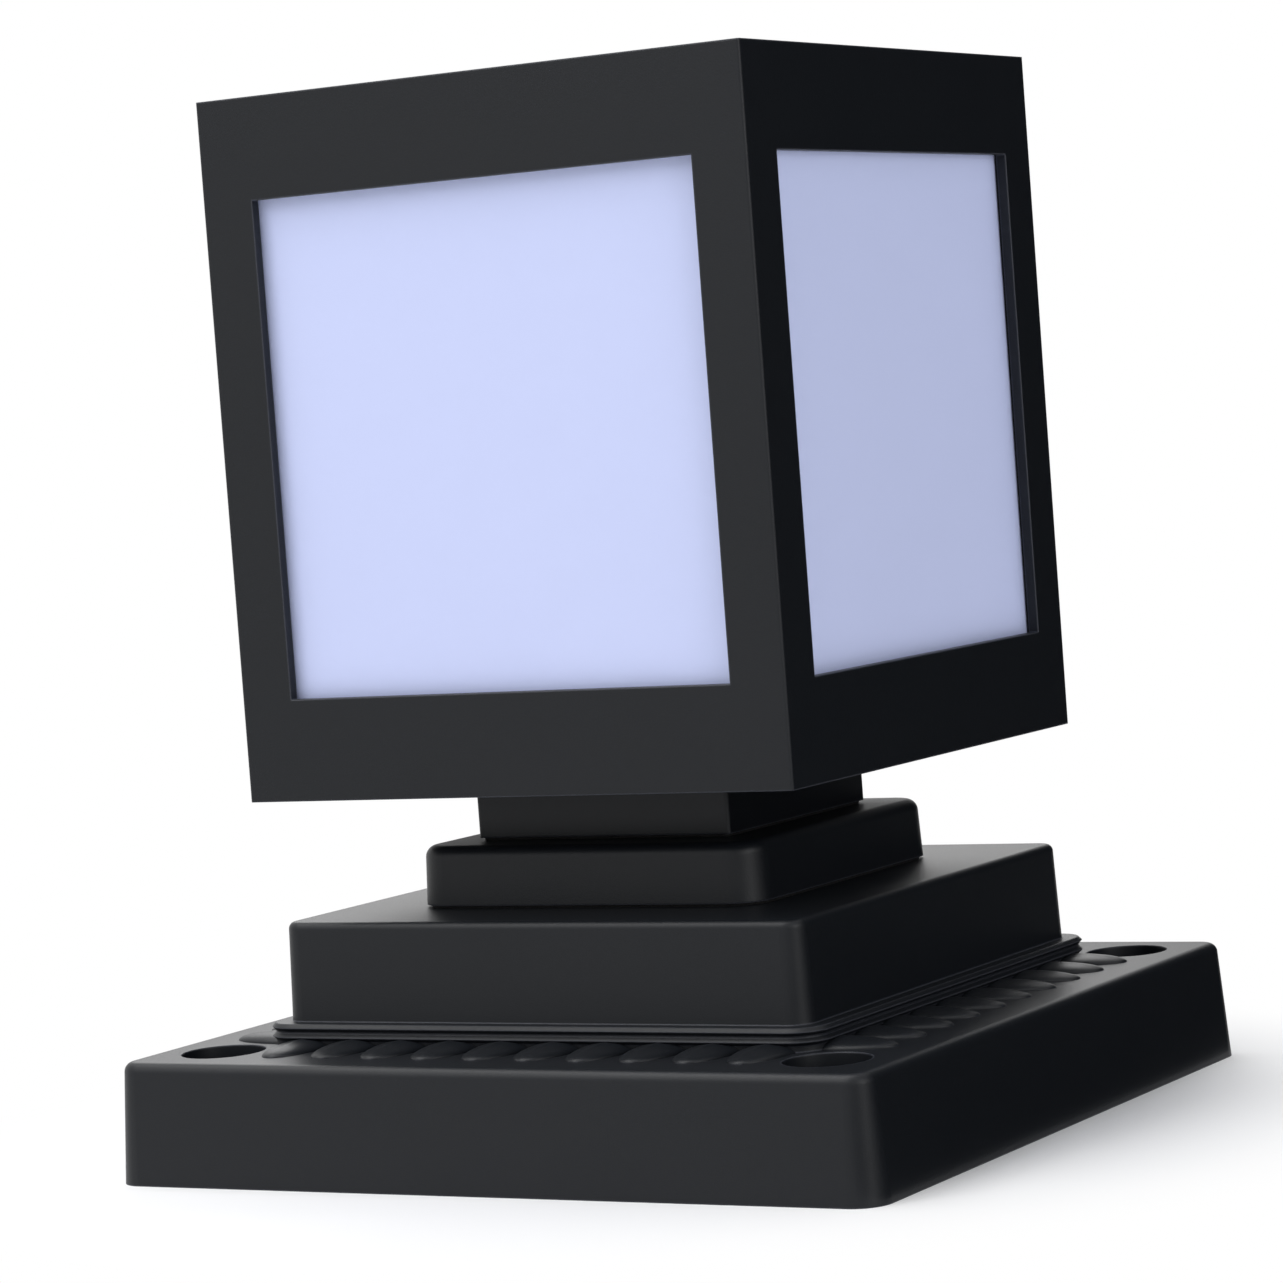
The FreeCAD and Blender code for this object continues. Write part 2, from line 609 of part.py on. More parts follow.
def base_cover_parts():
    """Cover that closes the wiring space from below, with its gasket and screws."""
    half = "(tier_width / 2 - plate_clearance)"
    cover = flat_piece("base_cover", COVER_FOOT, "cover_thickness",
                       (rounded_square, half, "tier_corner"),
                       (circle, "gland_x", "0", "gland_thread / 2 + hole_clearance"))
    holes = new_sketch(cover, out=COVER_FOOT)
    for x, y in four_corners(COVER_SCREW):
        circle(holes, x, y, "small_screw / 2 + hole_clearance")
    pocket(cover, holes, "cover_thickness", upwards=True)
    square_ring("base_cover_gasket", COVER_TOP, "gasket_thickness", half, "tier_corner", "wall")
    screws_at_corners("base_cover_screws", COVER_SCREW, rising_profile,
                      f"{COVER_FOOT} - small_head_height", "small_screw", "small_screw_head",
                      "small_head_height", "small_screw_length")


def cable_gland_parts():
    """Gland through the base cover: body, lock nut, rubber seal and dome nut."""
    flange_foot = f"({COVER_FOOT} - gland_collar)"
    gland = flat_piece("cable_gland", flange_foot, "gland_collar",
                       (hexagon, "gland_x", "0", "gland_flats"),
                       (circle, "gland_x", "0", "gland_bore / 2"))
    thread = new_sketch(gland, out=COVER_FOOT)
    circle(thread, "gland_x", "0", "gland_thread / 2")
    circle(thread, "gland_x", "0", "gland_bore / 2")
    pad(gland, thread, "cover_thickness + gland_inner_length")
    neck = new_sketch(gland, out=f"{flange_foot} - dome_length + 2 * seal_wall + gland_collar / 2")
    circle(neck, "gland_x", "0", "gland_thread / 2 - seal_wall")
    circle(neck, "gland_x", "0", "gland_bore / 2 + seal_wall")
    pad(gland, neck, "dome_length - 2 * seal_wall - gland_collar / 2")

    flat_piece("gland_lock_nut", COVER_TOP, "locknut_height",
               (hexagon, "gland_x", "0", "gland_flats"),
               (circle, "gland_x", "0", "gland_thread / 2 + thread_clearance"))
    seal_foot = f"({flange_foot} - dome_length + 2 * seal_wall)"
    flat_piece("gland_seal", seal_foot, "dome_length - 2 * seal_wall - seal_wall",
               (circle, "gland_x", "0", "gland_bore / 2 + seal_wall - thread_clearance"),
               (circle, "gland_x", "0", "gland_bore / 2"))
    dome = new_body("gland_dome_nut")
    section = new_sketch(dome, "XZ_Plane", across="gland_x")
    low = f"{flange_foot} - dome_length"
    outline(section, [
        ("dome_mouth / 2", low), ("gland_flats / 2 - 2 * seal_wall", low),
        ("gland_flats / 2", f"{low} + 3 * seal_wall"), ("gland_flats / 2", flange_foot),
        ("gland_thread / 2 - seal_wall + thread_clearance", flange_foot),
        ("gland_thread / 2 - seal_wall + thread_clearance", f"{low} + 2 * seal_wall"),
        ("dome_mouth / 2", f"{low} + 2 * seal_wall")])
    revolve(dome, section)


# ---------------------------------------------------------------------------------------------------
# Stack between base and head
# ---------------------------------------------------------------------------------------------------
def collar():
    body = new_body("collar")
    outer = new_sketch(body, out=COLLAR_FOOT)
    rounded_square(outer, "collar_width / 2", "collar_corner")
    pad(body, outer, "collar_height", "collar_draft")
    round_edges(body, "collar_rim_round", at_height(COLLAR_TOP))
    hollow = new_sketch(body, out=COLLAR_FOOT)
    rounded_square(hollow, "collar_width / 2 - wall", "collar_corner - wall")
    pocket(body, hollow, "collar_height - wall", upwards=True, draft="collar_draft")
    hole = new_sketch(body, out=COLLAR_TOP)
    circle(hole, "0", "0", STEM_HOLE)
    pocket(body, hole, "wall")


def neck():
    flat_piece("neck", NECK_FOOT, "neck_height", (rounded_square, "neck_width / 2", "neck_corner"),
               (rounded_square, "neck_width / 2 - wall", "neck_corner / 2"))


def stack_gaskets():
    """Flat gaskets under the collar and at both ends of the neck."""
    square_ring("collar_gasket", "tier_top", "gasket_thickness", "collar_width / 2 - gasket_inset",
                "collar_corner", "gasket_strip")
    square_ring("neck_lower_gasket", COLLAR_TOP, "gasket_thickness", "neck_width / 2 - gasket_inset",
                "neck_corner", "gasket_strip")
    square_ring("neck_upper_gasket", NECK_TOP, "gasket_thickness", "neck_width / 2 - gasket_inset",
                "neck_corner", "gasket_strip")


def stem_parts():
    """The hollow stem with a washer and a nut under the base's roof and on the head's floor."""
    lower_washer = f"({ROOF_INSIDE} - washer_thickness)"
    lower_nut = f"({lower_washer} - nut_height)"
    upper_nut = f"({FLOOR_TOP} + washer_thickness)"
    stem_foot = f"({lower_nut} - stem_spare)"
    stem_length = f"{upper_nut} + nut_height + stem_spare - {stem_foot}"
    flat_piece("threaded_stem", stem_foot, stem_length,
               (circle, "0", "0", "stem_diameter / 2"), (circle, "0", "0", "stem_bore / 2"))
    for label, washer, nut in (("lower", lower_washer, lower_nut), ("upper", FLOOR_TOP, upper_nut)):
        flat_piece(f"{label}_stem_washer", washer, "washer_thickness",
                   (circle, "0", "0", "washer_diameter / 2"), (circle, "0", "0", STEM_HOLE))
        flat_piece(f"{label}_stem_nut", nut, "nut_height", (hexagon, "0", "0", "nut_flats"),
                   (circle, "0", "0", "stem_diameter / 2 + thread_clearance"))


# ---------------------------------------------------------------------------------------------------
# Lantern head
# ---------------------------------------------------------------------------------------------------
def lantern_frame():
    """Square frame with four windows, inner shelves, corner columns and screw bosses."""
    body = new_body("lantern_frame")
    tube = new_sketch(body, out=HEAD_FOOT)
    rounded_square(tube, "head_width / 2", "head_corner")
    square(tube, HEAD_INSIDE)
    pad(body, tube, "head_height")
    for foot in (f"{PANEL_FOOT} - shelf_thickness", f"{LID_SHELF} - shelf_thickness"):
        shelf = new_sketch(body, out=foot)
        square(shelf, f"({HEAD_INSIDE} + head_wall / 2)")
        square(shelf, SHELF_INSIDE)
        pad(body, shelf, "shelf_thickness")
    column = new_sketch(body, out=FLOOR_TOP)
    reach = f"{HEAD_INSIDE} + head_wall / 2"
    rectangle(column, COLUMN_FACE, reach, COLUMN_FACE, reach)
    around(body, [pad(body, column, f"{LID_SHELF} - {FLOOR_TOP}")])
    for foot in (FLOOR_TOP, f"({LID_SHELF} - corner_boss_length)"):
        boss = new_sketch(body, out=foot)
        circle(boss, CORNER_SCREW, CORNER_SCREW, "corner_boss / 2")
        around(body, [pad(body, boss, "corner_boss_length")])
        tapped = new_sketch(body, out=foot)
        circle(tapped, CORNER_SCREW, CORNER_SCREW,
               "corner_screw / 2 + thread_clearance")
        around(body, [pocket(body, tapped, "corner_boss_length", upwards=True)])

    # Windows through both pairs of sides
    for role in ("XZ_Plane", "YZ_Plane"):
        window = new_sketch(body, role)
        rectangle(window, f"-{WINDOW_HALF}", WINDOW_HALF, WINDOW_FOOT, WINDOW_TOP)
        pocket(body, window, "head_width", through=True)

    # Holes for the clamp screws, square across the inner corners
    for height in CLAMP_SCREW_HEIGHTS:
        clamp_hole(body, height)


def clamp_hole(body, height):
    """Four holes for clamp screws, square across the head's inner corners."""
    section = corner_sketch(body, height)
    start = f"{CLAMP_FACE} - clamp_thickness"
    tip = f"{CLAMP_FACE} + clamp_screw_length + hole_clearance"
    outline(section, [(start, "0"), (tip, "0"), (tip, CLAMP_HOLE), (start, CLAMP_HOLE)])
    around(body, [revolve(body, section, "H_Axis", cut=True)])


def corner_sketch(body, height):
    """An upright sketch through the vertical axis and one corner of the head."""
    sketch = body.newObject("Sketcher::SketchObject", f"{body.Label}_corner")
    sketch.AttachmentSupport = (origin_item(body, "XZ_Plane"), [""])
    sketch.MapMode = "FlatFace"
    turn = FreeCAD.Rotation(Vector(0, 1, 0), 45)
    sketch.AttachmentOffset = FreeCAD.Placement(Vector(0, value(height), 0), turn)
    bind(sketch, "AttachmentOffset.Base.y", height)
    return sketch


def head_floor():
    """Plate that closes the frame from below, held by four countersunk screws."""
    half = f"{HEAD_INSIDE} - plate_clearance"
    body = flat_piece("head_floor", HEAD_FOOT, "floor_thickness", (rounded_square, half, "neck_corner"),
                      (circle, "0", "0", STEM_HOLE))
    holes = new_sketch(body, "XZ_Plane", across=CORNER_SCREW, out=f"-{CORNER_SCREW}")
    sunk = "(corner_screw_head - corner_screw) / 2"
    room = "hole_clearance"
    outline(holes, [("0", HEAD_FOOT), (f"corner_screw_head / 2 + {room}", HEAD_FOOT),
                    (f"corner_screw / 2 + {room}", f"{HEAD_FOOT} + {sunk}"),
                    (f"corner_screw / 2 + {room}", FLOOR_TOP), ("0", FLOOR_TOP)])
    around(body, [revolve(body, holes, cut=True)])
    tapped = new_sketch(body, out=FLOOR_TOP)
    for x, y in four_corners("pedestal_screw_spacing / 2"):
        circle(tapped, x, y, "small_screw / 2 + thread_clearance")
    pocket(body, tapped, "small_screw_length - pedestal_foot + thread_clearance")


def corner_screw_profile(sketch, face, direction):
    """Half section of a countersunk screw; direction is 1 upwards from its face, -1 downwards."""
    sunk = f"{direction} * (corner_screw_head - corner_screw) / 2"
    tip = f"{face} + {direction} * corner_screw_length"
    outline(sketch, [("0", face), ("corner_screw_head / 2", face),
                     ("corner_screw / 2", f"{face} + {sunk}"), ("corner_screw / 2", tip), ("0", tip)])


def panels_and_seals():
    """Four opal panels, each behind a gasket ring, standing on the frame's lower shelf."""
    sides = (("front", "XZ_Plane", 1), ("right", "YZ_Plane", 1), ("back", "XZ_Plane", -1),
             ("left", "YZ_Plane", -1))
    for side, role, direction in sides:
        panel = new_body(f"{side}_panel")
        out = PANEL_BACK if direction == 1 else f"-{PANEL_FACE}"
        sketch = new_sketch(panel, role, out=out)
        rectangle(sketch, f"-{PANEL_HALF}", PANEL_HALF, PANEL_FOOT, PANEL_TOP)
        pad(panel, sketch, "panel_thickness")
        seal = new_body(f"{side}_panel_seal")
        out = PANEL_FACE if direction == 1 else f"-{HEAD_INSIDE}"
        sketch = new_sketch(seal, role, out=out)
        rectangle(sketch, f"-{PANEL_HALF}", PANEL_HALF, PANEL_FOOT, PANEL_TOP)
        inner = f"({WINDOW_HALF} + seal_reveal)"
        rectangle(sketch, f"-{inner}", inner, f"{WINDOW_FOOT} - seal_reveal", f"{WINDOW_TOP} + seal_reveal")
        pad(seal, sketch, "seal_thickness")


def clamps():
    """Pressed strips across the inner corners that push the panels against their seals."""
    body = new_body("corner_clamps")
    sketch = new_sketch(body, out=PANEL_FOOT)
    outer = PANEL_BACK
    bend = f"({COLUMN_FACE} - clamp_clearance)"
    thin = "clamp_thickness"
    reach = f"({bend} - clamp_reach)"
    outline(sketch, [
        (outer, reach), (outer, bend), (bend, bend), (bend, outer), (reach, outer),
        (reach, f"{outer} - {thin}"), (f"{bend} - {thin}", f"{outer} - {thin}"),
        (f"{bend} - {thin}", f"{bend} - {thin}"), (f"{outer} - {thin}", f"{bend} - {thin}"),
        (f"{outer} - {thin}", reach)])
    strip = pad(body, sketch, f"{PANEL_TOP} - {PANEL_FOOT}")
    around(body, [strip])
    for height in CLAMP_SCREW_HEIGHTS:
        clamp_hole(body, height)

    screws = new_body("clamp_screws")
    turned = []
    for height in CLAMP_SCREW_HEIGHTS:
        section = corner_sketch(screws, height)
        back = f"{CLAMP_FACE} - small_head_height"
        tip = f"{CLAMP_FACE} + clamp_screw_length"
        outline(section, [(back, "0"), (tip, "0"), (tip, "clamp_screw / 2"), (CLAMP_FACE, "clamp_screw / 2"),
                          (CLAMP_FACE, "clamp_screw_head / 2"), (back, "clamp_screw_head / 2")])
        turned.append(revolve(screws, section, "H_Axis"))
    around(screws, turned)


# ---------------------------------------------------------------------------------------------------
# Light source
# ---------------------------------------------------------------------------------------------------
def pedestal():
    """Finned pedestal that carries the LED board and takes its heat down to the floor plate."""
    body = new_body("light_pedestal")
    inside = "pedestal_core / 2 - pedestal_core_wall"
    foot = new_sketch(body, out=FLOOR_TOP)
    circle(foot, "0", "0", "table_diameter / 2")
    circle(foot, "0", "0", inside)
    pad(body, foot, "pedestal_foot")
    core = new_sketch(body, out=f"{FLOOR_TOP} + pedestal_foot")
    circle(core, "0", "0", "pedestal_core / 2")
    circle(core, "0", "0", inside)
    pad(body, core, "pedestal_height - pedestal_foot")
    table = new_sketch(body, out=PEDESTAL_TOP)
    circle(table, "0", "0", "table_diameter / 2")
    circle(table, "0", "0", "lead_diameter / 2 + hole_clearance")
    pad(body, table, "table_thickness")
    fin = new_sketch(body, out=f"{FLOOR_TOP} + pedestal_foot")
    rectangle(fin, "pedestal_core / 2 - pedestal_core_wall / 2", "table_diameter / 2 - fin_thickness",
              "-fin_thickness / 2", "fin_thickness / 2")
    around(body, [pad(body, fin, "pedestal_height - pedestal_foot")], "fin_count")
    holes = new_sketch(body, out=FLOOR_TOP)
    for x, y in four_corners("pedestal_screw_spacing / 2"):
        circle(holes, x, y, "small_screw / 2 + hole_clearance")
    pocket(body, holes, "pedestal_foot", upwards=True)
    tapped = new_sketch(body, out=TABLE_TOP)
    for x, y in four_corners(BOARD_SCREW):
        circle(tapped, x, y, "small_screw / 2 + thread_clearance")
    pocket(body, tapped, "table_thickness")
    screws_at_corners("pedestal_screws", "pedestal_screw_spacing / 2", screw_profile,
                      f"{FLOOR_TOP} + pedestal_foot + small_head_height", "small_screw",
                      "small_screw_head", "small_head_height", "small_screw_length")


def light_engine():
    """LED board with two rings of packages under a clear cover."""
    board = flat_piece("led_board", TABLE_TOP, "board_thickness", (circle, "0", "0", BOARD_RADIUS),
                       (circle, "0", "0", "board_eye / 2"))
    holes = new_sketch(board, out=TABLE_TOP)
    for x, y in four_corners(BOARD_SCREW):
        circle(holes, x, y, "small_screw / 2 + hole_clearance")
    pocket(board, holes, "board_thickness", upwards=True)
    screws_at_corners("board_screws", BOARD_SCREW, screw_profile,
                      f"{BOARD_TOP} + small_head_height", "small_screw", "small_screw_head",
                      "small_head_height", "small_screw_length")
    chips = new_body("led_packages")
    rings = []
    for ring in ("chip_ring", "chip_inner_ring"):
        chip = new_sketch(chips, out=BOARD_TOP)
        rectangle(chip, f"{ring} / 2 - chip_side / 2", f"{ring} / 2 + chip_side / 2",
                  "-chip_side / 2", "chip_side / 2")
        rings.append(pad(chips, chip, "chip_height"))
    around(chips, rings, "chip_count")
    lens = new_body("clear_cover")
    section = new_sketch(lens, "XZ_Plane")
    outer = LENS_RADIUS
    top = f"({TABLE_TOP} + lens_height)"
    outline(section, [
        (outer, TABLE_TOP), (outer, f"{top} - lens_round"), (f"{outer} - lens_round", top), ("0", top),
        ("0", f"{top} - lens_wall"), (f"{outer} - lens_round", f"{top} - lens_wall"),
        (f"{outer} - lens_wall", f"{top} - lens_round"), (f"{outer} - lens_wall", TABLE_TOP)])
    revolve(lens, section)


def led_driver():
    """LED driver on the base cover, with its two screws and the lead up to the LED board."""
    low_x = "(driver_offset - driver_length / 2)"
    high_x = "(driver_offset + driver_length / 2)"
    driver = flat_piece("led_driver", COVER_TOP, "driver_height",
                        (rectangle, low_x, high_x, "-driver_width / 2", "driver_width / 2"))
    lugs = new_sketch(driver, out=COVER_TOP)
    rectangle(lugs, f"{low_x} - driver_lug", f"{high_x} + driver_lug", "-driver_lug", "driver_lug")
    pad(driver, lugs, "driver_lug_height")
    screws = new_body("driver_screws")
    holes = new_sketch(driver, out=COVER_TOP)
    for x in (f"{low_x} - driver_lug / 2", f"{high_x} + driver_lug / 2"):
        circle(holes, x, "0", "small_screw / 2 + hole_clearance")
        section = new_sketch(screws, "XZ_Plane", across=x)
        screw_profile(section, f"{COVER_TOP} + driver_lug_height + small_head_height", "small_screw",
                      "small_screw_head", "small_head_height", "driver_lug_height")
        revolve(screws, section)
    pocket(driver, holes, "driver_lug_height", upwards=True)
    lead_foot = f"({COVER_TOP} + driver_height)"
    flat_piece("led_lead", lead_foot, f"{TABLE_TOP} - {lead_foot}", (circle, "0", "0", "lead_diameter / 2"))


def terminal_parts():
    """Terminal block on the base cover, its clamping screws, and the lead into the driver's side."""
    terminal = flat_piece("terminal_block", COVER_TOP, "terminal_height",
                          (rectangle, "terminal_x - terminal_length / 2", "terminal_x + terminal_length / 2",
                           "terminal_y - terminal_width / 2", "terminal_y + terminal_width / 2"))
    top = f"({COVER_TOP} + terminal_height)"
    wells = new_sketch(terminal, out=top)
    screws = new_body("terminal_screws")
    heads = new_sketch(screws, out=f"{top} - small_screw_length")
    for row in (-1, 1):
        for column in (-1, 0, 1):
            x = f"terminal_x + {column} * terminal_pitch"
            y = f"terminal_y + {row} * terminal_width / 4"
            circle(wells, x, y, "small_screw / 2 + hole_clearance")
            circle(heads, x, y, "small_screw / 2")
    pocket(terminal, wells, "small_screw_length")
    pad(screws, heads, "small_screw_length - small_head_height")

    lead = new_body("feed_lead")
    level = f"({COVER_TOP} + feed_height)"
    path = new_sketch(lead, out=level)
    start_x = "terminal_x + terminal_length / 2"
    bend_x = "feed_x - feed_bend"
    bend_y = "terminal_y - feed_bend"
    run = path.addGeometry(Part.LineSegment(Vector(value(start_x), value("terminal_y"), 0),
                                            Vector(value(bend_x), value("terminal_y"), 0)), False)
    bend = path.addGeometry(Part.ArcOfCircle(
        Part.Circle(Vector(value(bend_x), value(bend_y), 0), Vector(0, 0, 1), value("feed_bend")),
        0, QUARTER_TURN), False)
    fall = path.addGeometry(Part.LineSegment(Vector(value("feed_x"), value(bend_y), 0),
                                             Vector(value("feed_x"), value("driver_width / 2"), 0)), False)
    path.addConstraint(Sketcher.Constraint("Tangent", run, 2, bend, 2))
    path.addConstraint(Sketcher.Constraint("Tangent", bend, 1, fall, 1))
    path.addConstraint(Sketcher.Constraint("Horizontal", run))
    path.addConstraint(Sketcher.Constraint("Vertical", fall))
    hold(path, "Radius", bend, expression="feed_bend")
    place_point(path, run, 1, start_x, "terminal_y")
    place_point(path, fall, 2, "feed_x", "driver_width / 2")
    section = new_sketch(lead, "YZ_Plane", out=start_x)
    circle(section, "terminal_y", level, "feed_diameter / 2")
    feature = lead.newObject("PartDesign::AdditivePipe", "lead")
    feature.Profile = section
    feature.Spine = path
    lead.Tip = feature
    doc.recompute()


def earth_screw():
    """Earth screw in a boss under the base's roof."""
    body = new_body("earth_screw")
    section = new_sketch(body, "XZ_Plane", across="earth_x", out="-earth_y")
    rising_profile(section, f"{ROOF_INSIDE} - earth_boss - small_head_height", "small_screw",
                   "small_screw_head", "small_head_height", "small_screw_length")
    revolve(body, section)


# ---------------------------------------------------------------------------------------------------
# Top, which lifts off
# ---------------------------------------------------------------------------------------------------
def top_parts():
    """Top cover in the frame's rebate, with its gasket, screws and reflector."""
    half = f"{HEAD_INSIDE} - plate_clearance"
    lid = flat_piece("top_cover", LID_FOOT, "lid_thickness", (rounded_square, half, "neck_corner"))
    bosses = new_sketch(lid, out=REFLECTOR_TOP)
    for x, y in four_corners(REFLECTOR_SCREW):
        circle(bosses, x, y, "reflector_boss / 2")
    pad(lid, bosses, "reflector_boss_drop")
    tapped = new_sketch(lid, out=REFLECTOR_TOP)
    for x, y in four_corners(REFLECTOR_SCREW):
        circle(tapped, x, y, "small_screw / 2 + thread_clearance")
    pocket(lid, tapped, "small_screw_length - reflector_wall", upwards=True)
    holes = new_sketch(lid, "XZ_Plane", across=CORNER_SCREW, out=f"-{CORNER_SCREW}")
    sunk = "(corner_screw_head - corner_screw) / 2"
    room = "hole_clearance"
    outline(holes, [("0", HEAD_TOP), (f"corner_screw_head / 2 + {room}", HEAD_TOP),
                    (f"corner_screw / 2 + {room}", f"{HEAD_TOP} - {sunk}"),
                    (f"corner_screw / 2 + {room}", LID_FOOT), ("0", LID_FOOT)])
    around(lid, [revolve(lid, holes, cut=True)])

    square_ring("top_gasket", LID_SHELF, "gasket_thickness", half, "neck_corner", "lid_gasket_strip")
    screws_at_corners("top_screws", CORNER_SCREW, corner_screw_profile, HEAD_TOP, -1)

    reflector = new_body("reflector")
    flange = new_sketch(reflector, out=f"{REFLECTOR_TOP} - reflector_wall")
    square(flange, REFLECTOR_HALF)
    square(flange, f"({REFLECTOR_HALF} - reflector_flange - reflector_wall)")
    pad(reflector, flange, "reflector_wall")
    for wall_inwards, shape in (("0", pad), ("reflector_wall", pocket)):
        tip, depth, lean = funnel_steps(wall_inwards)
        sketch = new_sketch(reflector, out=f"{REFLECTOR_TOP} - {depth}")
        square(sketch, tip)
        step = {"draft": lean} if shape is pad else {"draft": lean, "upwards": True}
        shape(reflector, sketch, depth, **step)
    holes = new_sketch(reflector, out=REFLECTOR_TOP)
    for x, y in four_corners(REFLECTOR_SCREW):
        circle(holes, x, y, "small_screw / 2 + hole_clearance")
    pocket(reflector, holes, "reflector_wall")
    screws_at_corners("reflector_screws", REFLECTOR_SCREW, rising_profile,
                      f"{REFLECTOR_TOP} - reflector_wall - small_head_height", "small_screw",
                      "small_screw_head", "small_head_height", "small_screw_length - small_head_height")


def funnel_steps(wall_inwards):
    """Height and half width of the reflector's tip, and the lean of its sides, at a depth in its wall."""
    rim = f"({REFLECTOR_HALF} - reflector_flange - {wall_inwards})"
    tip = f"(reflector_tip / 2 - {wall_inwards} / 2)"
    depth = f"(reflector_depth - {wall_inwards})"
    return tip, depth, f"-(atan(({rim} - {tip}) / {depth}))"


base_housing()
base_cover_parts()
cable_gland_parts()
collar()
neck()
stack_gaskets()
stem_parts()
lantern_frame()
head_floor()
screws_at_corners("floor_screws", CORNER_SCREW, corner_screw_profile, HEAD_FOOT, 1)
panels_and_seals()
clamps()
pedestal()
light_engine()
led_driver()
terminal_parts()
earth_screw()
top_parts()
doc.recompute()

# ---------------------------------------------------------------------------------------------------
# Checks and export
# ---------------------------------------------------------------------------------------------------
failed = [item.Name for item in doc.Objects if "Invalid" in item.State or "Error" in item.State]
if failed:
    raise RuntimeError(f"these objects did not build: {failed}")
os.makedirs("parts", exist_ok=True)
for piece in doc.findObjects("PartDesign::Body"):
    shape = piece.Shape
    if shape.isNull() or not shape.isValid() or not shape.Solids:
        raise RuntimeError(f"{piece.Label} is not a valid solid")
    shape.exportStep(f"parts/{piece.Label}.step")
    box = shape.BoundBox
    print(f"{piece.Label:22s} solids {len(shape.Solids):3d}  volume {shape.Volume:11.1f}  "
          f"z {box.ZMin:7.2f} to {box.ZMax:7.2f}  x {box.XMin:7.2f} to {box.XMax:7.2f}")
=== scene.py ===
# %% [markdown]
# # Square pillar lantern
# A cast, stepped base carries a small collar, a neck and a lantern head with four opal panels. This
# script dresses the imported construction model: every casting gets its finish, the pieces that a plain
# solid can't show well are modelled here, and a camera and soft lamps are set as for a studio picture.
# The construction model fixes every size, and its nodes are never moved. So a piece made here repeats
# the sizes and the place of the node that it stands for, and adds what that node leaves out.

# %% Load the frame
import json
import math

import bpy
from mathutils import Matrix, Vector


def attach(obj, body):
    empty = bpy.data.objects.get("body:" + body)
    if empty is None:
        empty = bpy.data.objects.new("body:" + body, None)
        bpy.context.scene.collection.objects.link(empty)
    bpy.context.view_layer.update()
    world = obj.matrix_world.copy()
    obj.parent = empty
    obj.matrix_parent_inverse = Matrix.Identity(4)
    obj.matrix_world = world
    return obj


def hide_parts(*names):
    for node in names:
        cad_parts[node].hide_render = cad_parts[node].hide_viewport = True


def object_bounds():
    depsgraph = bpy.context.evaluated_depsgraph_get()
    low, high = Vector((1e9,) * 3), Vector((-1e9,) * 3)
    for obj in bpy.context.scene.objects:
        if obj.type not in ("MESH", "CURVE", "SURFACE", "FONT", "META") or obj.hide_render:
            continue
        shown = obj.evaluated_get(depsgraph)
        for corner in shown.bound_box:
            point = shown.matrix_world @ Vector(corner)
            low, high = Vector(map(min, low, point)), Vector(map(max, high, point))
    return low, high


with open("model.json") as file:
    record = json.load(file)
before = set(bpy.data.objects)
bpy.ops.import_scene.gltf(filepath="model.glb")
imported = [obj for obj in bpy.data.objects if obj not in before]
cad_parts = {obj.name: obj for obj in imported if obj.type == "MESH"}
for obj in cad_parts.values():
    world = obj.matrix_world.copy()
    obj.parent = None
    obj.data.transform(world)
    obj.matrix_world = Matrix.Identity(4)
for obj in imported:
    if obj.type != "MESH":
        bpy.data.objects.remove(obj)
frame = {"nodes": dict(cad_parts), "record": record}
CAD_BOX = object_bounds()
NODES = frame["nodes"]
MM = 0.001
print("nodes loaded:", len(NODES))

# %% [markdown]
# ## Camera
# The photo was taken with a long lens from a little above the middle of the lantern, and the camera was
# held with a slight roll, so the head leans to the left. The numbers come from fitting the straight
# edges of base, collar and head. The lens is long, so upright edges hardly converge.

# %% Camera
CAMERA_PLACE = (0.6603, -1.1409, 0.2183)
CAMERA_TURN = (86.78, 4.25, 29.87)
LENS_MM = 123.57
SENSOR_MM = 36.0
SHIFT = (-0.01215, -0.00085)


def add_camera():
    """Adds the camera and makes it the scene's own."""
    turn = [math.radians(angle) for angle in CAMERA_TURN]
    bpy.ops.object.camera_add(location=CAMERA_PLACE, rotation=turn)
    camera = bpy.context.object
    camera.name = "photo_camera"
    camera.data.sensor_width = SENSOR_MM
    camera.data.lens = LENS_MM
    camera.data.shift_x, camera.data.shift_y = SHIFT
    bpy.context.scene.camera = camera


add_camera()
print("camera stands", round(Vector(CAMERA_PLACE).length, 2), "m from the base's middle")

# %% [markdown]
# ## Lamps
# The object is dark and satin, so what it mirrors matters more than how much light falls on it. A lamp
# low in front of it would be mirrored in the upright faces and turn them grey. So the strongest lamps
# hang high: one at the front left lights the panels, and one overhead gives the rims and the moulding
# their thin highlights. One at the right fills the second side, and one behind glances over the ledges.
# All four are large, because the shadow and the highlight of a large lamp have soft borders.

# %% Lamps
LAMP_TARGET = (0, 0, 0.16)


def soft_lamp(name, place, size, power):
    """Adds a square area lamp that looks at the middle of the lantern."""
    direction = Vector(LAMP_TARGET) - Vector(place)
    turn = direction.to_track_quat("-Z", "Y").to_euler()
    bpy.ops.object.light_add(type="AREA", location=place, rotation=turn)
    lamp = bpy.context.object
    lamp.name = name
    lamp.data.size = size
    lamp.data.energy = power


soft_lamp("front_left_lamp", (-0.8, -1.75, 1.75), 1.5, 18)
soft_lamp("right_lamp", (2.3, -0.9, 0.7), 1.2, 14)
soft_lamp("back_lamp", (-1.0, 1.5, 1.15), 1.0, 9)
soft_lamp("top_lamp", (-0.5, -0.25, 1.75), 1.4, 23)

# %% [markdown]
# A photographer sets black cards beside a dark, shiny thing, so that one side of it mirrors black and
# stands out from the other. One card stands at the back right and one lies on the floor in front of it.
# Only mirror rays see them, so they neither shade the lantern nor show in any view.

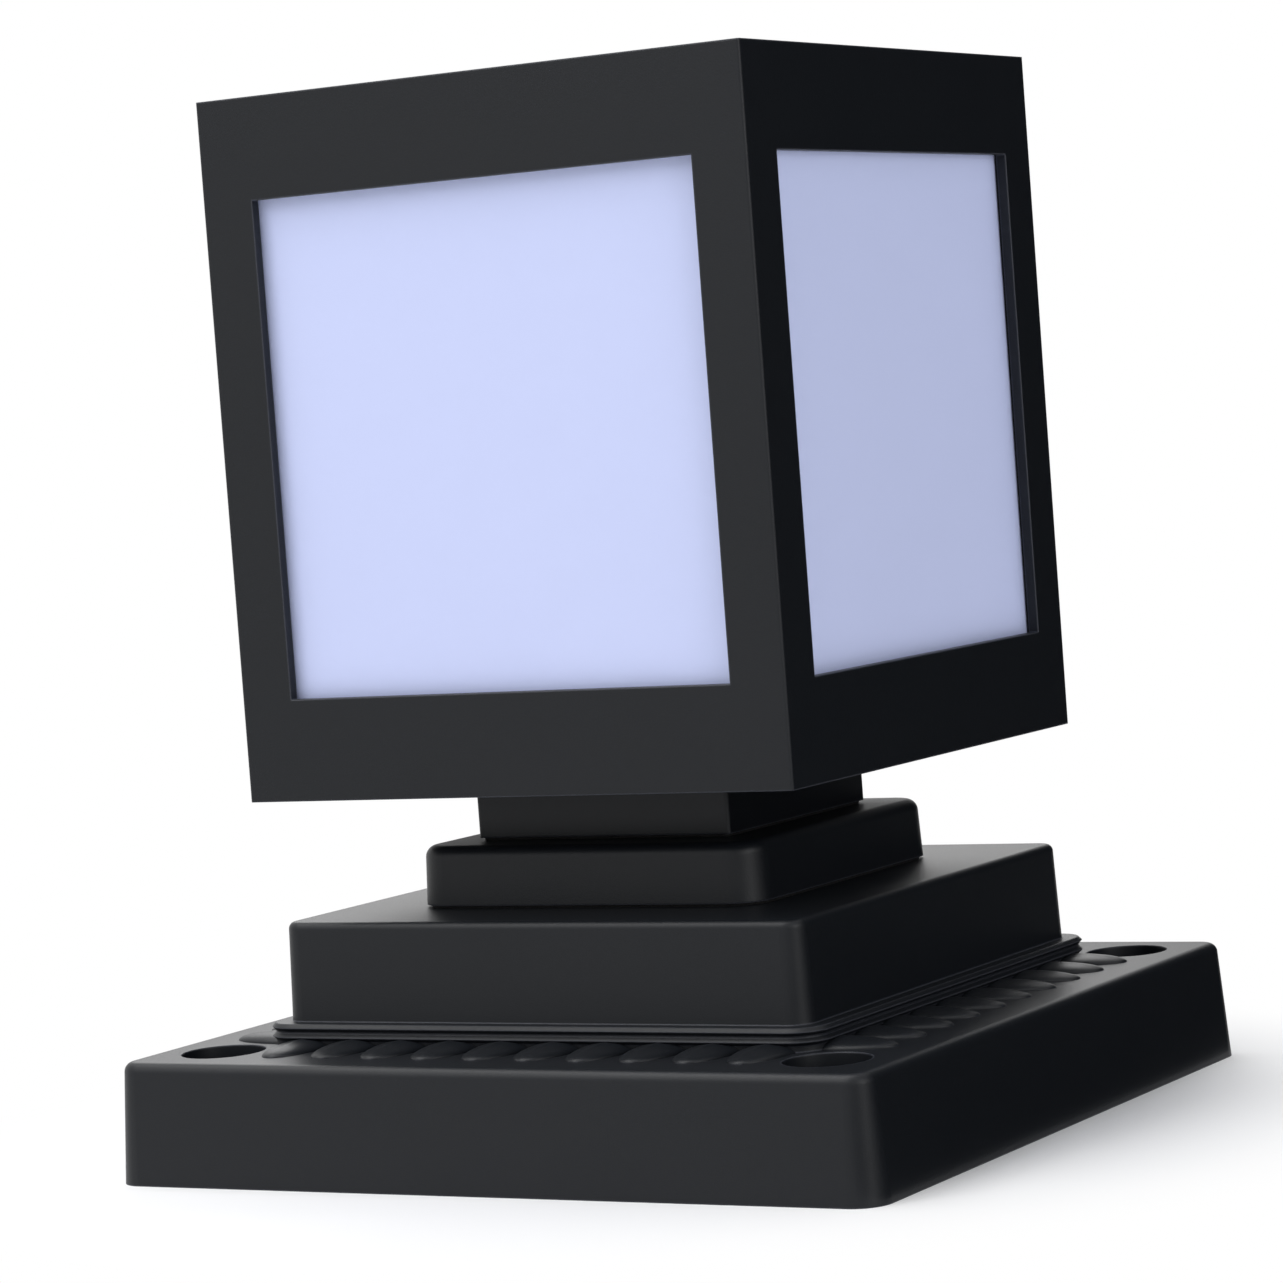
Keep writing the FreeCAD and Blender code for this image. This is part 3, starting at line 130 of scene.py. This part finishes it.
# %% Black cards
CARD_PLACE = (0.49, 0.63, 0.45)
CARD_SIZE = (1.3, 0.9)
FOOT_CARD_PLACE = (0.60, 0.35, 0.001)
FOOT_CARD_SIZE = (0.945, 1.4)
CARD_BLACK = (0.004, 0.004, 0.004)


def black_cards():
    """Two cards that only reflections see, at the back right."""
    material = bpy.data.materials.new("black_card")
    material.use_nodes = True
    shader = material.node_tree.nodes["Principled BSDF"]
    shader.inputs["Base Color"].default_value = (*CARD_BLACK, 1)
    shader.inputs["Specular IOR Level"].default_value = 0.0
    facing = Vector((CARD_PLACE[0], CARD_PLACE[1], 0)).to_track_quat("Z", "Y").to_euler()
    for label, place, turn, size in (("standing", CARD_PLACE, facing, CARD_SIZE),
                                     ("lying", FOOT_CARD_PLACE, (0, 0, 0), FOOT_CARD_SIZE)):
        bpy.ops.mesh.primitive_plane_add(size=1, location=place, rotation=turn)
        card = bpy.context.object
        card.name = f"{label}_black_card"
        card.scale = (*size, 1)
        card.data.materials.append(material)
        card.visible_camera = False
        card.visible_diffuse = False
        card.visible_shadow = False
        card.visible_transmission = False


black_cards()
print("cards at", CARD_PLACE, "and", FOOT_CARD_PLACE)

# %% [markdown]
# ## Background and floor
# The background is plain white. A world that is white for what the camera, a mirror or glass sees, and
# dimmer for the light that it casts, keeps it white without bleaching the panels. The floor is a round
# pale disc that keeps the shadow under the base and turns to the same white further out.

# %% World
WORLD_FILL = 0.4
FILL_COLOUR = (0.95, 0.97, 1.0)
SEEN_COLOUR = (1.0, 1.0, 1.0)


def new_tree(owner):
    """Clears an owner's node tree and returns its nodes and links."""
    owner.use_nodes = True
    owner.node_tree.nodes.clear()
    return owner.node_tree.nodes, owner.node_tree.links


def seen_ray(nodes, links):
    """A value that is 1 for rays of the camera, of mirrors and of glass, else 0."""
    path = nodes.new("ShaderNodeLightPath")
    first = nodes.new("ShaderNodeMath")
    first.operation = "MAXIMUM"
    links.new(path.outputs["Is Camera Ray"], first.inputs[0])
    links.new(path.outputs["Is Glossy Ray"], first.inputs[1])
    second = nodes.new("ShaderNodeMath")
    second.operation = "MAXIMUM"
    links.new(first.outputs[0], second.inputs[0])
    links.new(path.outputs["Is Transmission Ray"], second.inputs[1])
    return second.outputs[0]


def white_world():
    """White for what is seen, a dimmer cool white for the light."""
    world = bpy.data.worlds.new("studio")
    bpy.context.scene.world = world
    nodes, links = new_tree(world)
    out = nodes.new("ShaderNodeOutputWorld")
    fill = nodes.new("ShaderNodeBackground")
    fill.inputs["Color"].default_value = (*FILL_COLOUR, 1)
    fill.inputs["Strength"].default_value = WORLD_FILL
    white = nodes.new("ShaderNodeBackground")
    white.inputs["Color"].default_value = (*SEEN_COLOUR, 1)
    mix = nodes.new("ShaderNodeMixShader")
    links.new(seen_ray(nodes, links), mix.inputs["Fac"])
    links.new(fill.outputs[0], mix.inputs[1])
    links.new(white.outputs[0], mix.inputs[2])
    links.new(mix.outputs[0], out.inputs["Surface"])


white_world()
bpy.context.scene.view_settings.view_transform = "Standard"
print("world strength for light:", WORLD_FILL)

# %% Floor
FLOOR_RADIUS = 2.5
FLOOR_SIDES = 96
FLOOR_COLOUR = (0.88, 0.88, 0.89)
FADE_FROM = 0.13
FADE_TO = 0.24


def floor_finish():
    """Pale matt near the object, white for the camera further out."""
    material = bpy.data.materials.new("pale_floor")
    nodes, links = new_tree(material)
    out = nodes.new("ShaderNodeOutputMaterial")
    matt = nodes.new("ShaderNodeBsdfDiffuse")
    matt.inputs["Color"].default_value = (*FLOOR_COLOUR, 1)
    white = nodes.new("ShaderNodeEmission")
    place = nodes.new("ShaderNodeTexCoord")
    distance = nodes.new("ShaderNodeVectorMath")
    distance.operation = "LENGTH"
    links.new(place.outputs["Object"], distance.inputs[0])
    fade = nodes.new("ShaderNodeMapRange")
    fade.interpolation_type = "SMOOTHSTEP"
    fade.inputs["From Min"].default_value = FADE_FROM
    fade.inputs["From Max"].default_value = FADE_TO
    links.new(distance.outputs["Value"], fade.inputs["Value"])
    share = nodes.new("ShaderNodeMath")
    share.operation = "MULTIPLY"
    links.new(fade.outputs["Result"], share.inputs[0])
    links.new(seen_ray(nodes, links), share.inputs[1])
    mix = nodes.new("ShaderNodeMixShader")
    links.new(share.outputs[0], mix.inputs["Fac"])
    links.new(matt.outputs[0], mix.inputs[1])
    links.new(white.outputs[0], mix.inputs[2])
    links.new(mix.outputs[0], out.inputs["Surface"])
    return material


def lay_floor(height):
    """A round floor at a height, as part of the studio."""
    bpy.ops.mesh.primitive_circle_add(vertices=FLOOR_SIDES, radius=FLOOR_RADIUS, fill_type="NGON",
                                      location=(0, 0, height))
    floor = bpy.context.object
    floor.name = "floor"
    floor.data.materials.append(floor_finish())


lay_floor(CAD_BOX[0][2])
print("floor at", round(CAD_BOX[0][2], 4), "m")

# %% [markdown]
# ## Shader effects
# Nearly all finishes share two effects, so each effect is a node group. One gives the skin of a casting or
# a moulding: slow patches and a fine grain. The other compares the true normal with one that the Bevel
# node has rounded, which shows where edges are. It gives a mask for paler edges, which stand for wear and,
# on the powder coat, mostly for a painted highlight, and a softened normal, because a real cast edge is
# never perfectly sharp.

# %% Moulded skin
GRAIN_SCALE = 2200.0
GRAIN_DETAIL = 3
PATCH_SCALE = 30.0
PATCH_DETAIL = 4


def new_group(name, inputs, outputs):
    """An empty shader group with named sockets; returns the group and its end nodes."""
    group = bpy.data.node_groups.new(name, "ShaderNodeTree")
    for label, number in inputs:
        socket = group.interface.new_socket(label, in_out="INPUT", socket_type="NodeSocketFloat")
        socket.default_value = number
    for label, kind in outputs:
        group.interface.new_socket(label, in_out="OUTPUT", socket_type=kind)
    return group, group.nodes.new("NodeGroupInput"), group.nodes.new("NodeGroupOutput")


def moulded_skin_group():
    """Fine grain and slow patches of a moulded or cast skin."""
    group, start, end = new_group(
        "moulded_skin", [("Grain Scale", GRAIN_SCALE), ("Patch Scale", PATCH_SCALE)],
        [("Grain", "NodeSocketFloat"), ("Patches", "NodeSocketFloat")])
    nodes, links = group.nodes, group.links
    place = nodes.new("ShaderNodeTexCoord")
    for size, detail, result in (("Grain Scale", GRAIN_DETAIL, "Grain"),
                                 ("Patch Scale", PATCH_DETAIL, "Patches")):
        noise = nodes.new("ShaderNodeTexNoise")
        noise.inputs["Detail"].default_value = detail
        links.new(place.outputs["Object"], noise.inputs["Vector"])
        links.new(start.outputs[size], noise.inputs["Scale"])
        links.new(noise.outputs["Fac"], end.inputs[result])
    return group


MOULDED_SKIN = moulded_skin_group()
print("shader group:", MOULDED_SKIN.name)

# %% Soft edges
EDGE_WIDTH = 0.0008
BEVEL_SAMPLES = 6
FLAT_AT = 0.99
# The edge mask is full where the dot of the two normals falls to this; it paints wear, and on the powder
# coat a highlight.
EDGE_WEAR_AND_HIGHLIGHT_AT = 0.85


def edge_group():
    """Where edges are, as a mask, and the normal rounded over them."""
    group, start, end = new_group(
        "soft_edges", [("Width", EDGE_WIDTH)],
        [("Mask", "NodeSocketFloat"), ("Normal", "NodeSocketVector")])
    nodes, links = group.nodes, group.links
    bevel = nodes.new("ShaderNodeBevel")
    bevel.samples = BEVEL_SAMPLES
    links.new(start.outputs["Width"], bevel.inputs["Radius"])
    geometry = nodes.new("ShaderNodeNewGeometry")
    dot = nodes.new("ShaderNodeVectorMath")
    dot.operation = "DOT_PRODUCT"
    links.new(bevel.outputs["Normal"], dot.inputs[0])
    links.new(geometry.outputs["Normal"], dot.inputs[1])
    spread = nodes.new("ShaderNodeMapRange")
    spread.inputs["From Min"].default_value = FLAT_AT
    spread.inputs["From Max"].default_value = EDGE_WEAR_AND_HIGHLIGHT_AT
    links.new(dot.outputs["Value"], spread.inputs["Value"])
    links.new(spread.outputs["Result"], end.inputs["Mask"])
    links.new(bevel.outputs["Normal"], end.inputs["Normal"])
    return group


SOFT_EDGES = edge_group()
print("shader group:", SOFT_EDGES.name)

# %% [markdown]
# ## Finishes
# Every finish but one is a Principled shader with the two groups round it. Its colour moves between two
# near shades with the patches and turns paler along the edges: wear on most finishes, and on the powder
# coat, whose edge colour is far paler than its skin, mostly a painted highlight on the rims. Its roughness
# follows the grain, and a shallow bump carries the grain. Only the values differ between powder coat,
# rubber, plastics, enamel and metals, so one function makes them all. Its three colours are the skin, the
# patches and the edges (wear, and on the powder coat a painted highlight with a little wear), and the
# number after them is the roughness.

# %% Finish helper
SMOOTHER = 0.05
ROUGHER = 0.06
BUMP_DEPTH = 0.0002


def colour_output(mix):
    """The colour result of a mix node, which also has results of other kinds."""
    return next(socket for socket in mix.outputs if socket.type == "RGBA")


def colour_input(mix, letter):
    """The colour input A or B of a mix node."""
    return next(socket for socket in mix.inputs if socket.type == "RGBA" and socket.name == letter)


def skin_finish(name, colour, patches, edges, roughness, metallic=0.0, specular=0.5,
                grain=GRAIN_SCALE, bump=0.1):
    """A finish with patches, paler edges (wear, and on the powder coat a painted highlight), grain in its
    roughness and a shallow bump.
    """
    material = bpy.data.materials.new(name)
    nodes, links = new_tree(material)
    out = nodes.new("ShaderNodeOutputMaterial")
    shader = nodes.new("ShaderNodeBsdfPrincipled")
    shader.inputs["Metallic"].default_value = metallic
    shader.inputs["Specular IOR Level"].default_value = specular
    links.new(shader.outputs["BSDF"], out.inputs["Surface"])
    skin = nodes.new("ShaderNodeGroup")
    skin.node_tree = MOULDED_SKIN
    skin.inputs["Grain Scale"].default_value = grain
    soft = nodes.new("ShaderNodeGroup")
    soft.node_tree = SOFT_EDGES
    body = nodes.new("ShaderNodeMix")
    # The second mix makes the colour paler along edges: wear, and on the powder coat a painted highlight.
    worn_and_highlit = nodes.new("ShaderNodeMix")
    for mix, first, second in ((body, colour, patches), (worn_and_highlit, colour, edges)):
        mix.data_type = "RGBA"
        colour_input(mix, "A").default_value = (*first, 1)
        colour_input(mix, "B").default_value = (*second, 1)
    links.new(skin.outputs["Patches"], body.inputs["Factor"])
    links.new(soft.outputs["Mask"], worn_and_highlit.inputs["Factor"])
    links.new(colour_output(body), colour_input(worn_and_highlit, "A"))
    links.new(colour_output(worn_and_highlit), shader.inputs["Base Color"])
    gloss = nodes.new("ShaderNodeMapRange")
    gloss.inputs["To Min"].default_value = roughness - SMOOTHER
    gloss.inputs["To Max"].default_value = roughness + ROUGHER
    links.new(skin.outputs["Grain"], gloss.inputs["Value"])
    links.new(gloss.outputs["Result"], shader.inputs["Roughness"])
    relief = nodes.new("ShaderNodeBump")
    relief.inputs["Strength"].default_value = bump
    relief.inputs["Distance"].default_value = BUMP_DEPTH
    links.new(skin.outputs["Grain"], relief.inputs["Height"])
    links.new(soft.outputs["Normal"], relief.inputs["Normal"])
    links.new(relief.outputs["Normal"], shader.inputs["Normal"])
    return material


print("roughness moves from", -SMOOTHER, "to", ROUGHER, "round a finish's own value")

# %% Castings, rubber and plastics
FINISHES = {
    # The powder coat's edge colour, about ten times its skin, is a painted highlight along the rims, with
    # a little wear.
    "casting_finish": skin_finish("powder_coat", (0.0052, 0.0064, 0.0088), (0.0064, 0.0076, 0.0100),
                                  (0.060, 0.064, 0.080), 0.42, specular=0.27, bump=0.18),
    "gasket_rubber": skin_finish("black_rubber", (0.005, 0.005, 0.005), (0.008, 0.008, 0.008),
                                 (0.012, 0.012, 0.012), 0.75, specular=0.3),
    "gland_plastic": skin_finish("black_nylon", (0.010, 0.010, 0.011), (0.014, 0.014, 0.015),
                                 (0.025, 0.025, 0.026), 0.5),
    "cover_plastic": skin_finish("charcoal_plastic", (0.015, 0.016, 0.018), (0.020, 0.021, 0.023),
                                 (0.035, 0.035, 0.038), 0.55),
    "opal_acrylic": skin_finish("opal_plastic", (0.590, 0.645, 0.920), (0.575, 0.630, 0.900),
                                (0.610, 0.660, 0.930), 0.45, specular=0.35, bump=0.03),
    "driver_plastic": skin_finish("white_case", (0.66, 0.66, 0.63), (0.60, 0.60, 0.58),
                                  (0.74, 0.74, 0.71), 0.5),
    "lead_jacket": skin_finish("lead_rubber", (0.022, 0.022, 0.024), (0.030, 0.030, 0.033),
                               (0.04, 0.04, 0.042), 0.5),
    "board_white": skin_finish("white_enamel", (0.78, 0.79, 0.78), (0.73, 0.74, 0.73),
                               (0.84, 0.84, 0.83), 0.35),
    "led_yellow": skin_finish("phosphor", (0.82, 0.56, 0.07), (0.76, 0.49, 0.05),
                              (0.88, 0.68, 0.2), 0.4),
}
print("finishes so far:", len(FINISHES))

# %% Metals
FINISHES.update({
    "zinc_steel": skin_finish("zinc_plate", (0.50, 0.51, 0.50), (0.40, 0.41, 0.42),
                              (0.66, 0.66, 0.64), 0.38, metallic=1.0, grain=900.0),
    "screw_steel": skin_finish("stainless", (0.50, 0.50, 0.51), (0.42, 0.42, 0.43),
                               (0.66, 0.66, 0.66), 0.3, metallic=1.0, grain=1500.0),
    "brass_terminal": skin_finish("brass", (0.70, 0.50, 0.21), (0.58, 0.40, 0.17),
                                  (0.82, 0.66, 0.34), 0.3, metallic=1.0),
    "bare_aluminium": skin_finish("bare_casting", (0.60, 0.61, 0.63), (0.50, 0.51, 0.53),
                                  (0.72, 0.72, 0.74), 0.42, metallic=1.0, grain=1200.0),
})
print("finishes so far:", len(FINISHES))

# %% [markdown]
# The clear cover over the board is the one see-through piece. It needs full transmission and a low
# roughness, so it gets a shader of its own, with faint patches of haze in the roughness.

# %% Clear plastic
CLEAR_COLOUR = (0.93, 0.95, 0.97)
CLEAR_IOR = 1.49
HAZE_LEAST = 0.04
HAZE_MOST = 0.14


def clear_finish():
    """Clear plastic with faint haze."""
    material = bpy.data.materials.new("clear_cover_plastic")
    nodes, links = new_tree(material)
    out = nodes.new("ShaderNodeOutputMaterial")
    shader = nodes.new("ShaderNodeBsdfPrincipled")
    shader.inputs["Base Color"].default_value = (*CLEAR_COLOUR, 1)
    shader.inputs["Transmission Weight"].default_value = 1.0
    shader.inputs["IOR"].default_value = CLEAR_IOR
    skin = nodes.new("ShaderNodeGroup")
    skin.node_tree = MOULDED_SKIN
    haze = nodes.new("ShaderNodeMapRange")
    haze.inputs["To Min"].default_value = HAZE_LEAST
    haze.inputs["To Max"].default_value = HAZE_MOST
    links.new(skin.outputs["Patches"], haze.inputs["Value"])
    links.new(haze.outputs["Result"], shader.inputs["Roughness"])
    links.new(shader.outputs["BSDF"], out.inputs["Surface"])
    return material


FINISHES["clear_plastic"] = clear_finish()
print("finishes in all:", len(FINISHES))

# %% [markdown]
# The record says which material slot each node has, and a finish is kept under the name of its slot.
# So a short loop can give every node its finish, and the pieces made below use the same names.

# %% Give every node its finish
def give_finish(piece, slot):
    """Puts the finish of a slot on a piece."""
    piece.data.materials.clear()
    piece.data.materials.append(FINISHES[slot])


SLOTS = {row["node"]: row["material_slot"] for row in frame["record"]["subparts"]}
for name, slot in SLOTS.items():
    give_finish(NODES[name], slot)
print("nodes finished:", len(SLOTS))

# %% [markdown]
# ## Modelling helpers
# An operator acts on everything that is selected, and loading the frame leaves its nodes selected. So
# each piece starts with an empty selection. A piece is modelled about its own middle, then placed and
# joined with its copies. Before they join, each copy's place is applied, which moves it into the mesh,
# because the object of a finished piece sits at the origin, as a node's does.

# %% Modelling helpers
def start():
    """Leaves edit mode and deselects everything."""
    if bpy.context.object and bpy.context.object.mode != "OBJECT":
        bpy.ops.object.mode_set(mode="OBJECT")
    bpy.ops.object.select_all(action="DESELECT")


def pick(piece):
    """Selects one piece and makes it the active one."""
    start()
    piece.select_set(True)
    bpy.context.view_layer.objects.active = piece


def apply_place(piece):
    """Puts a piece's place, turn and scale into its mesh."""
    pick(piece)
    bpy.ops.object.transform_apply(location=True, rotation=True, scale=True)


def apply_modifiers(piece):
    """Applies a piece's modifiers from the first to the last."""
    pick(piece)
    for modifier in list(piece.modifiers):
        bpy.ops.object.modifier_apply(modifier=modifier.name)


def copy_at(piece, place, turn=0.0):
    """A copy with its own mesh, moved and turned about the upright axis."""
    pick(piece)
    bpy.ops.object.duplicate()
    twin = bpy.context.object
    twin.location = place
    twin.rotation_euler = (0, 0, turn)
    return twin


def join_as(name, pieces, body, slot, *replaced):
    """Joins pieces into one, applies its place, gives it its finish, hangs it on its body and hides the
    nodes it stands for.
    """
    for piece in pieces:
        apply_place(piece)
    start()
    for piece in pieces:
        piece.select_set(True)
    bpy.context.view_layer.objects.active = pieces[0]
    if len(pieces) > 1:
        bpy.ops.object.join()
    piece = bpy.context.object
    piece.name = name
    give_finish(piece, slot)
    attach(piece, body)
    if replaced:
        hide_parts(*replaced)
    print(name, len(piece.data.polygons), "faces")


start()
print("selected now:", len(bpy.context.selected_objects))

# %% [markdown]
# ## Petals on the ledge
# A row of ten raised petals runs along each side of the ledge, cast in one with the base. Each leaves
# the moulding, rises to a soft crest and runs out in a rounded tip. The construction model has them as
# plain lofted ridges, which could be rounded with a Subdivision Surface modifier, but that would round
# the whole casting too. So one petal is shaped here from a flattened ball that just covers such a ridge:
# the part under the ledge and the part behind the moulding are cut away, and its crest is drawn up. An
# Array modifier makes the row, and three turned copies make the other sides.

# %% One petal
PETAL_COUNT = 10
PETAL_PITCH = 17.15 * MM
PETAL_HALF_WIDTH = 8.1 * MM
PETAL_LENGTH = 18.3 * MM
PETAL_HEIGHT = 2.45 * MM
PETAL_SINK = 0.3 * MM
PETAL_ROOT = MM
PETAL_SEGMENTS = 40
PETAL_RINGS = 20
RIDGE_SHARE = 0.35
RIDGE_RISE = 0.12
LEDGE = 35.5 * MM
MOULDING_FOOT = 91.6 * MM


def one_petal():
    """A petal that points along +X, with its root at the moulding."""
    start()
    bpy.ops.mesh.primitive_uv_sphere_add(segments=PETAL_SEGMENTS, ring_count=PETAL_RINGS, radius=1,
                                         location=(0, 0, 0))
    petal = bpy.context.object
    petal.scale = (PETAL_LENGTH, PETAL_HALF_WIDTH, PETAL_HEIGHT)
    apply_place(petal)
    bpy.ops.object.mode_set(mode="EDIT")
    for point, facing in (((0, 0, -PETAL_SINK), (0, 0, 1)), ((-PETAL_ROOT, 0, 0), (1, 0, 0))):
        bpy.ops.mesh.select_all(action="SELECT")
        bpy.ops.mesh.bisect(plane_co=point, plane_no=facing, clear_inner=True, use_fill=True)
    bpy.ops.object.mode_set(mode="OBJECT")
    for vertex in petal.data.vertices:
        ridge = max(0.0, 1 - abs(vertex.co.y) / PETAL_HALF_WIDTH / RIDGE_SHARE)
        vertex.co.z += RIDGE_RISE * max(vertex.co.z, 0) * ridge * ridge
    petal.location = (MOULDING_FOOT, -(PETAL_COUNT - 1) / 2 * PETAL_PITCH, LEDGE)
    apply_place(petal)
    return petal


FIRST_PETAL = one_petal()
print("one petal:", len(FIRST_PETAL.data.polygons), "faces")

# %% Petal border
PETAL_SMOOTHING = 50


def petal_border(row):
    """Turns the first petal into a row and copies the row round the ledge."""
    array = row.modifiers.new("row", "ARRAY")
    array.count = PETAL_COUNT
    array.use_relative_offset = False
    array.use_constant_offset = True
    array.constant_offset_displace = (0, PETAL_PITCH, 0)
    apply_modifiers(row)
    sides = [row] + [copy_at(row, (0, 0, 0), math.radians(90 * step)) for step in (1, 2, 3)]
    join_as("petal_border", sides, "lantern", "casting_finish")
    bpy.ops.object.shade_smooth_by_angle(angle=math.radians(PETAL_SMOOTHING))


petal_border(FIRST_PETAL)

# %% [markdown]
# ## Screws
# Screws are turned parts: a round bar cut to a profile, with a hexagonal recess pressed into the head.
# The construction model has them with a plain flat head. A screw could be a revolved outline, but a disc
# that is extruded and scaled ring by ring, from the tip up to the head, shows every step of the profile
# as it grows. A six-sided bar then cuts the recess with a Boolean modifier. One screw is made for each
# place of use and copied to the other places.

# %% Turned blanks and recesses
TURNED_SIDES = 32


def turned_blank(rows, sides=TURNED_SIDES):
    """A disc at the first row, extruded ring by ring; rows are radius and height in mm."""
    start()
    radius, height = rows[0]
    bpy.ops.mesh.primitive_circle_add(vertices=sides, radius=radius * MM, fill_type="NGON",
                                      location=(0, 0, height * MM))
    blank = bpy.context.object
    apply_place(blank)
    bpy.ops.object.mode_set(mode="EDIT")
    bpy.ops.mesh.select_all(action="SELECT")
    for wider, higher in rows[1:]:
        bpy.ops.mesh.extrude_region_move(TRANSFORM_OT_translate={"value": (0, 0, (higher - height) * MM)})
        bpy.ops.transform.resize(value=(wider / radius, wider / radius, 1))
        radius, height = wider, higher
    bpy.ops.mesh.select_all(action="SELECT")
    bpy.ops.mesh.normals_make_consistent(inside=False)
    bpy.ops.object.mode_set(mode="OBJECT")
    return blank


def bar(sides, radius, low, high, place=(0, 0)):
    """An upright bar, all sizes in mm."""
    start()
    bpy.ops.mesh.primitive_cylinder_add(vertices=sides, radius=radius * MM, depth=(high - low) * MM,
                                        location=(place[0] * MM, place[1] * MM, (low + high) / 2 * MM))
    return bpy.context.object


def cut(piece, tool):
    """Cuts a tool's shape out of a piece and deletes the tool."""
    boolean = piece.modifiers.new("cut", "BOOLEAN")
    boolean.operation = "DIFFERENCE"
    boolean.solver = "EXACT"
    boolean.object = tool
    apply_modifiers(piece)
    bpy.data.objects.remove(tool)


print("a turned blank has", TURNED_SIDES, "sides")

# %% Screws
RECESS_SIDES = 6
RECESS_SPARE = 0.3
TURNED_SMOOTHING = 35


def set_screws(node, body, places, rows, recess_radius, recess_depth):
    """Screws at their places, each with a hexagonal recess in the last row's end."""
    screw = turned_blank(rows)
    face = rows[-1][1]
    outward = 1 if face > rows[0][1] else -1
    ends = sorted((face - outward * recess_depth, face + outward * RECESS_SPARE))
    cut(screw, bar(RECESS_SIDES, recess_radius, *ends))
    copies = [copy_at(screw, (x * MM, y * MM, 0)) for x, y in places]
    bpy.data.objects.remove(screw)
    join_as(f"{node}_turned", copies, body, SLOTS[node], node)
    bpy.ops.object.shade_smooth_by_angle(angle=math.radians(TURNED_SMOOTHING))


def corner_places(reach):
    """The four places at the same distance from the middle both ways."""
    return [(x, y) for x in (-reach, reach) for y in (-reach, reach)]


print("a recess has", RECESS_SIDES, "sides")

# %% [markdown]
# Two kinds of screw are made. The countersunk ones are M4 and 14 mm long, and their heads end flush with
# the face of what they hold. The others are M3 and have a domed head that stands 2 mm over its seat. A
# profile is a list of radii and of distances from that face or seat, in millimetres, so the same list
# serves a screw that looks up and one that looks down.

# %% Two profiles
UP, DOWN = 1, -1
COUNTERSUNK = ((1.3, 14), (2.0, 13.2), (2.0, 2.0), (3.9, 0.1), (3.9, 0))
COUNTERSUNK_RECESS = (1.45, 1.5)
TIP_RADIUS = 1.0
TIP_LENGTH = 0.6
THREAD_RADIUS = 1.5
DOME = ((3.0, 0), (3.0, 1.0), (2.7, 1.6), (2.1, 2.0))
DOME_RECESS = (1.3, 1.1)


def countersunk(face, up):
    """Rows of a countersunk screw, from its tip to its flush face."""
    return [(radius, face - up * depth) for radius, depth in COUNTERSUNK]


def domed(seat, up, length):
    """Rows of a screw with a domed head, from its tip to the top of the dome."""
    thread = [(TIP_RADIUS, seat - up * length), (THREAD_RADIUS, seat - up * (length - TIP_LENGTH)),
              (THREAD_RADIUS, seat)]
    return thread + [(radius, seat + up * rise) for radius, rise in DOME]


print("head radius:", COUNTERSUNK[-1][0], "mm countersunk,", DOME[0][0], "mm domed")

# %% [markdown]
# Now the screws are set. Each row of the table names the node that the screws stand for, their body,
# their places, their profile and their recess. The screws of the top cover and the reflector rise with
# the cover, so they ride on its body.

# %% Set the screws
DRIVER_LUGS = [(-27, 0), (67, 0)]
EARTH_LUG = [(0, -56)]

for row in (
    ("top_screws", "top", corner_places(77.5), countersunk(312, UP), *COUNTERSUNK_RECESS),
    ("floor_screws", "lantern", corner_places(77.5), countersunk(107.6, DOWN), *COUNTERSUNK_RECESS),
    ("base_cover_screws", "lantern", corner_places(76), domed(23.2, DOWN, 6), *DOME_RECESS),
    ("reflector_screws", "top", corner_places(66.5), domed(304.3, DOWN, 4), *DOME_RECESS),
    ("pedestal_screws", "lantern", corner_places(25), domed(114.6, UP, 6), *DOME_RECESS),
    ("board_screws", "lantern", corner_places(24.5), domed(156.2, UP, 6), *DOME_RECESS),
    ("driver_screws", "lantern", DRIVER_LUGS, domed(28.2, UP, 3), *DOME_RECESS),
    ("earth_screw", "lantern", EARTH_LUG, domed(55.4, DOWN, 6), *DOME_RECESS),
):
    set_screws(*row)

# %% [markdown]
# ## Dome nut of the cable gland
# The dome nut is screwed up by hand, so a moulded one has grip flutes round it. The construction model
# has it plain. Its outside is turned ring by ring like the screws, and then three tools cut it: a ring of
# round bars for the flutes, a wide bar for the thread's room and a narrow one for the cable's mouth. The
# flutes could also be modelled as a pattern on the rim, but a cut keeps the turned shape as it was.

# %% Dome nut
GLAND_X = -57
NUT_PROFILE = ((12.0, 18.2), (12.0, 9.6), (11.7, 8.4), (10.9, 6.6), (9.9, 5.2), (8.8, 4.2))
NUT_SIDES = 72
FLUTES = 18
FLUTE_SIDES = 12
FLUTE_RADIUS = 0.9
FLUTE_REACH = 12.3
FLUTE_FOOT, FLUTE_TOP = 10.6, 17.4
BORE_SIDES = 48
THREAD_ROOM = (8.6, 7.4, 19.2)
CABLE_MOUTH = (6.5, 3.2, 8.4)


def flute_tool():
    """A ring of round bars, joined into one tool."""
    grips = []
    for step in range(FLUTES):
        angle = 2 * math.pi * step / FLUTES
        place = (FLUTE_REACH * math.cos(angle), FLUTE_REACH * math.sin(angle))
        grips.append(bar(FLUTE_SIDES, FLUTE_RADIUS, FLUTE_FOOT, FLUTE_TOP, place))
    start()
    for grip in grips:
        grip.select_set(True)
    bpy.context.view_layer.objects.active = grips[0]
    bpy.ops.object.join()
    return bpy.context.object


def dome_nut():
    """The fluted dome nut under the gland."""
    nut = turned_blank(NUT_PROFILE, NUT_SIDES)
    cut(nut, flute_tool())
    for bore in (THREAD_ROOM, CABLE_MOUTH):
        cut(nut, bar(BORE_SIDES, *bore))
    nut.location.x = GLAND_X * MM
    join_as("dome_nut_fluted", [nut], "lantern", SLOTS["gland_dome_nut"], "gland_dome_nut")
    bpy.ops.object.shade_smooth_by_angle(angle=math.radians(TURNED_SMOOTHING))


dome_nut()
